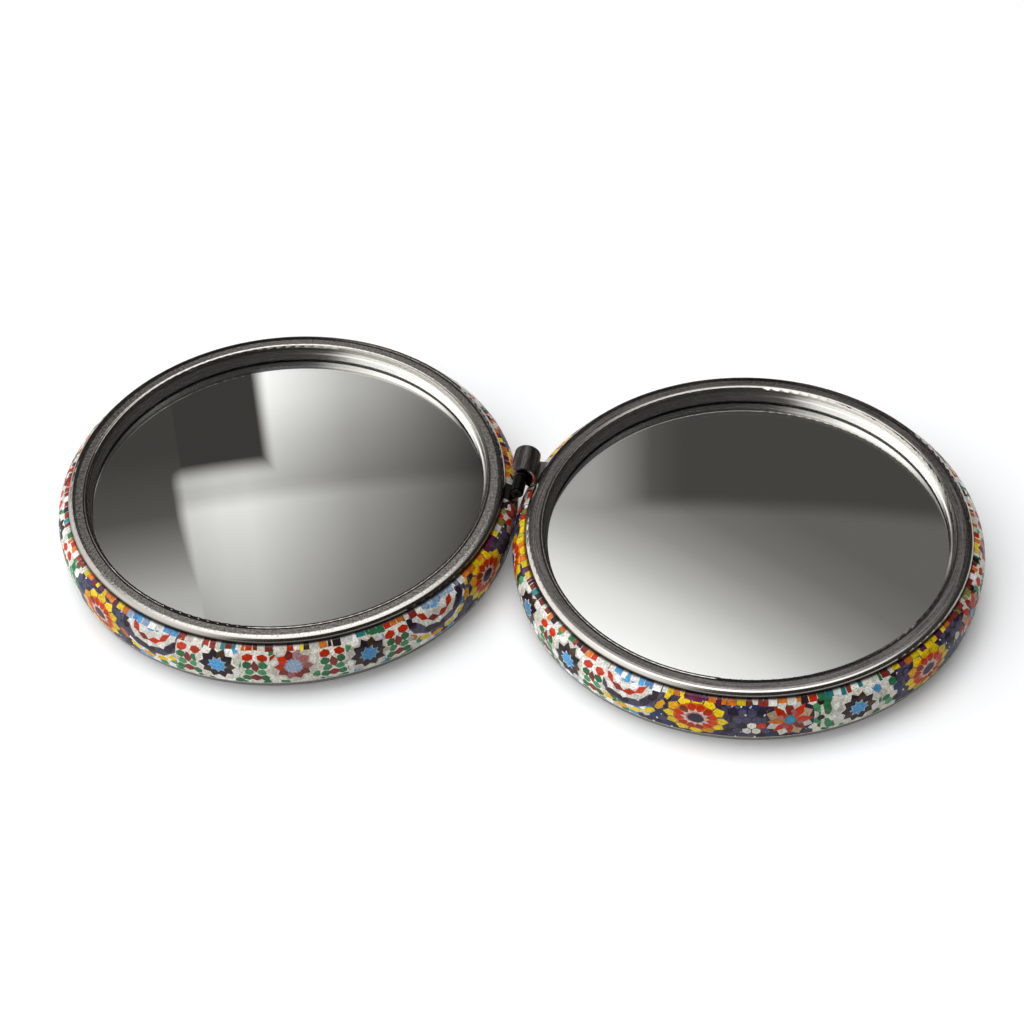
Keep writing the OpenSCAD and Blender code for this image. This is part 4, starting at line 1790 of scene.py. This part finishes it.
        warm = [level, step("POWER", level, 1.02), step("POWER", level, 1.04)]
        colour = add_node(tree, "CombineColor", dict(enumerate(warm))).outputs[0]
        sky = add_node(tree, "Background", {"Color": colour})
        add_node(tree, "OutputWorld", {"Surface": sky.outputs[0]})

    def table(self) -> None:
        """Builds the white table top, which keeps the object's shadow."""
        half = self.table_half * MM
        mesh = bpy.data.meshes.new("table_top")
        corners = [(-half, -half), (half, -half), (half, half), (-half, half)]
        mesh.from_pydata([(x, y, -self.table_drop * MM) for x, y in corners], [], [(0, 1, 2, 3)])
        floor = bpy.data.objects.new("table_top", mesh)
        bpy.context.scene.collection.objects.link(floor)
        sketch = Sketch("white_laminate_table")
        shade = sketch.add("BsdfPrincipled", {"Base Color": linear("FAFAFA"), "Roughness": 0.7})
        rays = sketch.add("LightPath").outputs
        seen = sketch.sum("MAXIMUM", rays["Is Camera Ray"],
                          sketch.sum("MAXIMUM", rays["Is Glossy Ray"],
                                     rays["Is Transmission Ray"]))
        glow = sketch.add("Emission", {"Strength": sketch.sum("MULTIPLY", seen, self.glow)})
        both = sketch.add("AddShader", {0: shade.outputs[0], 1: glow.outputs[0]})
        sketch.add("OutputMaterial", {"Surface": both.outputs[0]})
        mesh.materials.append(sketch.material)

    def build(self) -> None:
        """Builds the table and the light, and sets how colours are shown."""
        bpy.context.scene.view_settings.view_transform = "Standard"
        self.table()
        self.light()


LID_MOTIFS = (
    Placed(Motif.SUNFLOWER, -129.6, 4.2), Placed(Motif.GARLAND, -112.3, -0.9),
    Placed(Motif.LEAVES, -101.5, 3.6), Placed(Motif.BLUE_STAR, -94.0, 3.7),
    Placed(Motif.LEAVES, -84.8, 3.6), Placed(Motif.ROSE_STAR, -75.6, 3.4),
    Placed(Motif.LEAVES, -66.2, 3.6), Placed(Motif.BLUE_STAR, -57.4, 3.8),
    Placed(Motif.LEAVES, -49.8, 3.6), Placed(Motif.GARLAND, -38.0, -0.9),
    Placed(Motif.SUNFLOWER, -19.6, 3.6), Placed(Motif.WHEEL, -1.0, 3.4),
    Placed(Motif.SUNFLOWER, 17.0, 3.6), Placed(Motif.WHEEL, 34.0, 3.4),
    Placed(Motif.LEAVES, 43.5, 3.6), Placed(Motif.BLUE_STAR, 53.0, 3.7),
    Placed(Motif.LEAVES, 61.5, 3.6), Placed(Motif.WHEEL, 71.0, 3.4),
    Placed(Motif.SUNFLOWER, 88.0, 3.6), Placed(Motif.WHEEL, 105.0, 3.4),
    Placed(Motif.LEAVES, 114.5, 3.6), Placed(Motif.BLUE_STAR, 123.0, 3.7),
    Placed(Motif.LEAVES, 132.0, 3.6),
    Placed(Motif.ROSE_STAR, 141.5, 3.4), Placed(Motif.LEAVES, 151.0, 3.6),
    Placed(Motif.WHEEL, 161.0, 3.7), Placed(Motif.LEAVES, 171.0, 3.6),
    Placed(Motif.WHEEL, -178.0, 3.4), Placed(Motif.LEAVES, -168.5, 3.6),
    Placed(Motif.BLUE_STAR, -158.5, 3.6), Placed(Motif.LEAVES, -149.5, 3.6))

BASE_MOTIFS = (
    Placed(Motif.SUNFLOWER, -166.0, 3.4), Placed(Motif.BLUE_STAR, -149.5, 3.4),
    Placed(Motif.LEAVES, -139.5, 3.6), Placed(Motif.BLUE_STAR, -130.7, 3.8),
    Placed(Motif.LEAVES, -122.5, 3.6), Placed(Motif.GARLAND, -113.5, -0.9),
    Placed(Motif.SUNFLOWER, -95.4, 3.7), Placed(Motif.WHEEL, -73.5, 3.4),
    Placed(Motif.VINE, -63.5, 3.6), Placed(Motif.BLUE_STAR, -56.7, 4.1),
    Placed(Motif.SUNFLOWER, -36.0, 3.9), Placed(Motif.WHEEL, -15.5, 3.4),
    Placed(Motif.LEAVES, -5.5, 3.6), Placed(Motif.ROSE_STAR, 4.5, 3.4),
    Placed(Motif.LEAVES, 14.0, 3.6), Placed(Motif.BLUE_STAR, 23.5, 3.7),
    Placed(Motif.LEAVES, 32.5, 3.6), Placed(Motif.WHEEL, 42.0, 3.4),
    Placed(Motif.SUNFLOWER, 58.5, 3.6), Placed(Motif.WHEEL, 75.0, 3.4),
    Placed(Motif.LEAVES, 84.5, 3.6), Placed(Motif.BLUE_STAR, 93.0, 3.7),
    Placed(Motif.LEAVES, 102.5, 3.6), Placed(Motif.ROSE_STAR, 112.0, 3.4),
    Placed(Motif.LEAVES, 121.5, 3.6), Placed(Motif.BLUE_STAR, 131.0, 3.7),
    Placed(Motif.LEAVES, 139.5, 3.6), Placed(Motif.SUNFLOWER, 154.0, 3.6),
    Placed(Motif.WHEEL, 173.0, 3.4))


def main() -> None:
    """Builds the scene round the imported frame."""
    logging.basicConfig(level=logging.INFO, format="%(message)s")
    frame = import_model()
    PhotographCamera().build()
    Studio().build()
    shared = {
        "film": PrintedFilm().make(),
        "glass": FloatGlass().make(),
        "tinplate": Metal("drawn_tinplate", "C9C7C2", 0.32, (1, 1, 5), 0.2).make(),
        "abs": Soft("moulded_abs", "E6E0CF", "DDD6C2", 0.42, 0.25, 0.01).make(),
        "foam": Soft("closed_cell_foam", "2E2D2C", "1C1B1B", 0.85, 0.18, 0.05).make(),
        "tape": Soft("double_sided_tissue_tape", "D9CFA8", "C2B68C", 0.6, 0.3, 0.01).make(),
        "magnet": Metal("nickel_plated_neodymium", "B4B2AD", 0.2).make(),
        # partly painted shade: the leaf's near-black is its blackened finish and also the shade in
        # the gap between the halves
        "dark_steel_and_shade": Metal("spring_steel_dark_with_painted_shade", "24211F", 0.38, (1, 6, 1)).make(),
        "rivet": Metal("peened_steel_rivet", "A9A59E", 0.35).make(),
    }
    lid = Half("lid", Grain.TUMBLED, Notch(1.75, 5.15, 7.63), LID_MOTIFS, 0, 11,
               plating=("A29E99", 0.15, "96918A"))
    base = Half("base", Grain.TURNED, Notch(5.05, 10.45, 7.63), BASE_MOTIFS, 180, 23,
                plating=("706C69", 0.28, "ACA7A0"),
                blisters=((-3, 4.6, 0.05), (-12, 5.2, 0.06), (15, 4.4, 0.05)))
    for half in (lid, base):
        half.build(frame, shared)
    Hinge().build(frame)


if __name__ == "__main__":
    main()
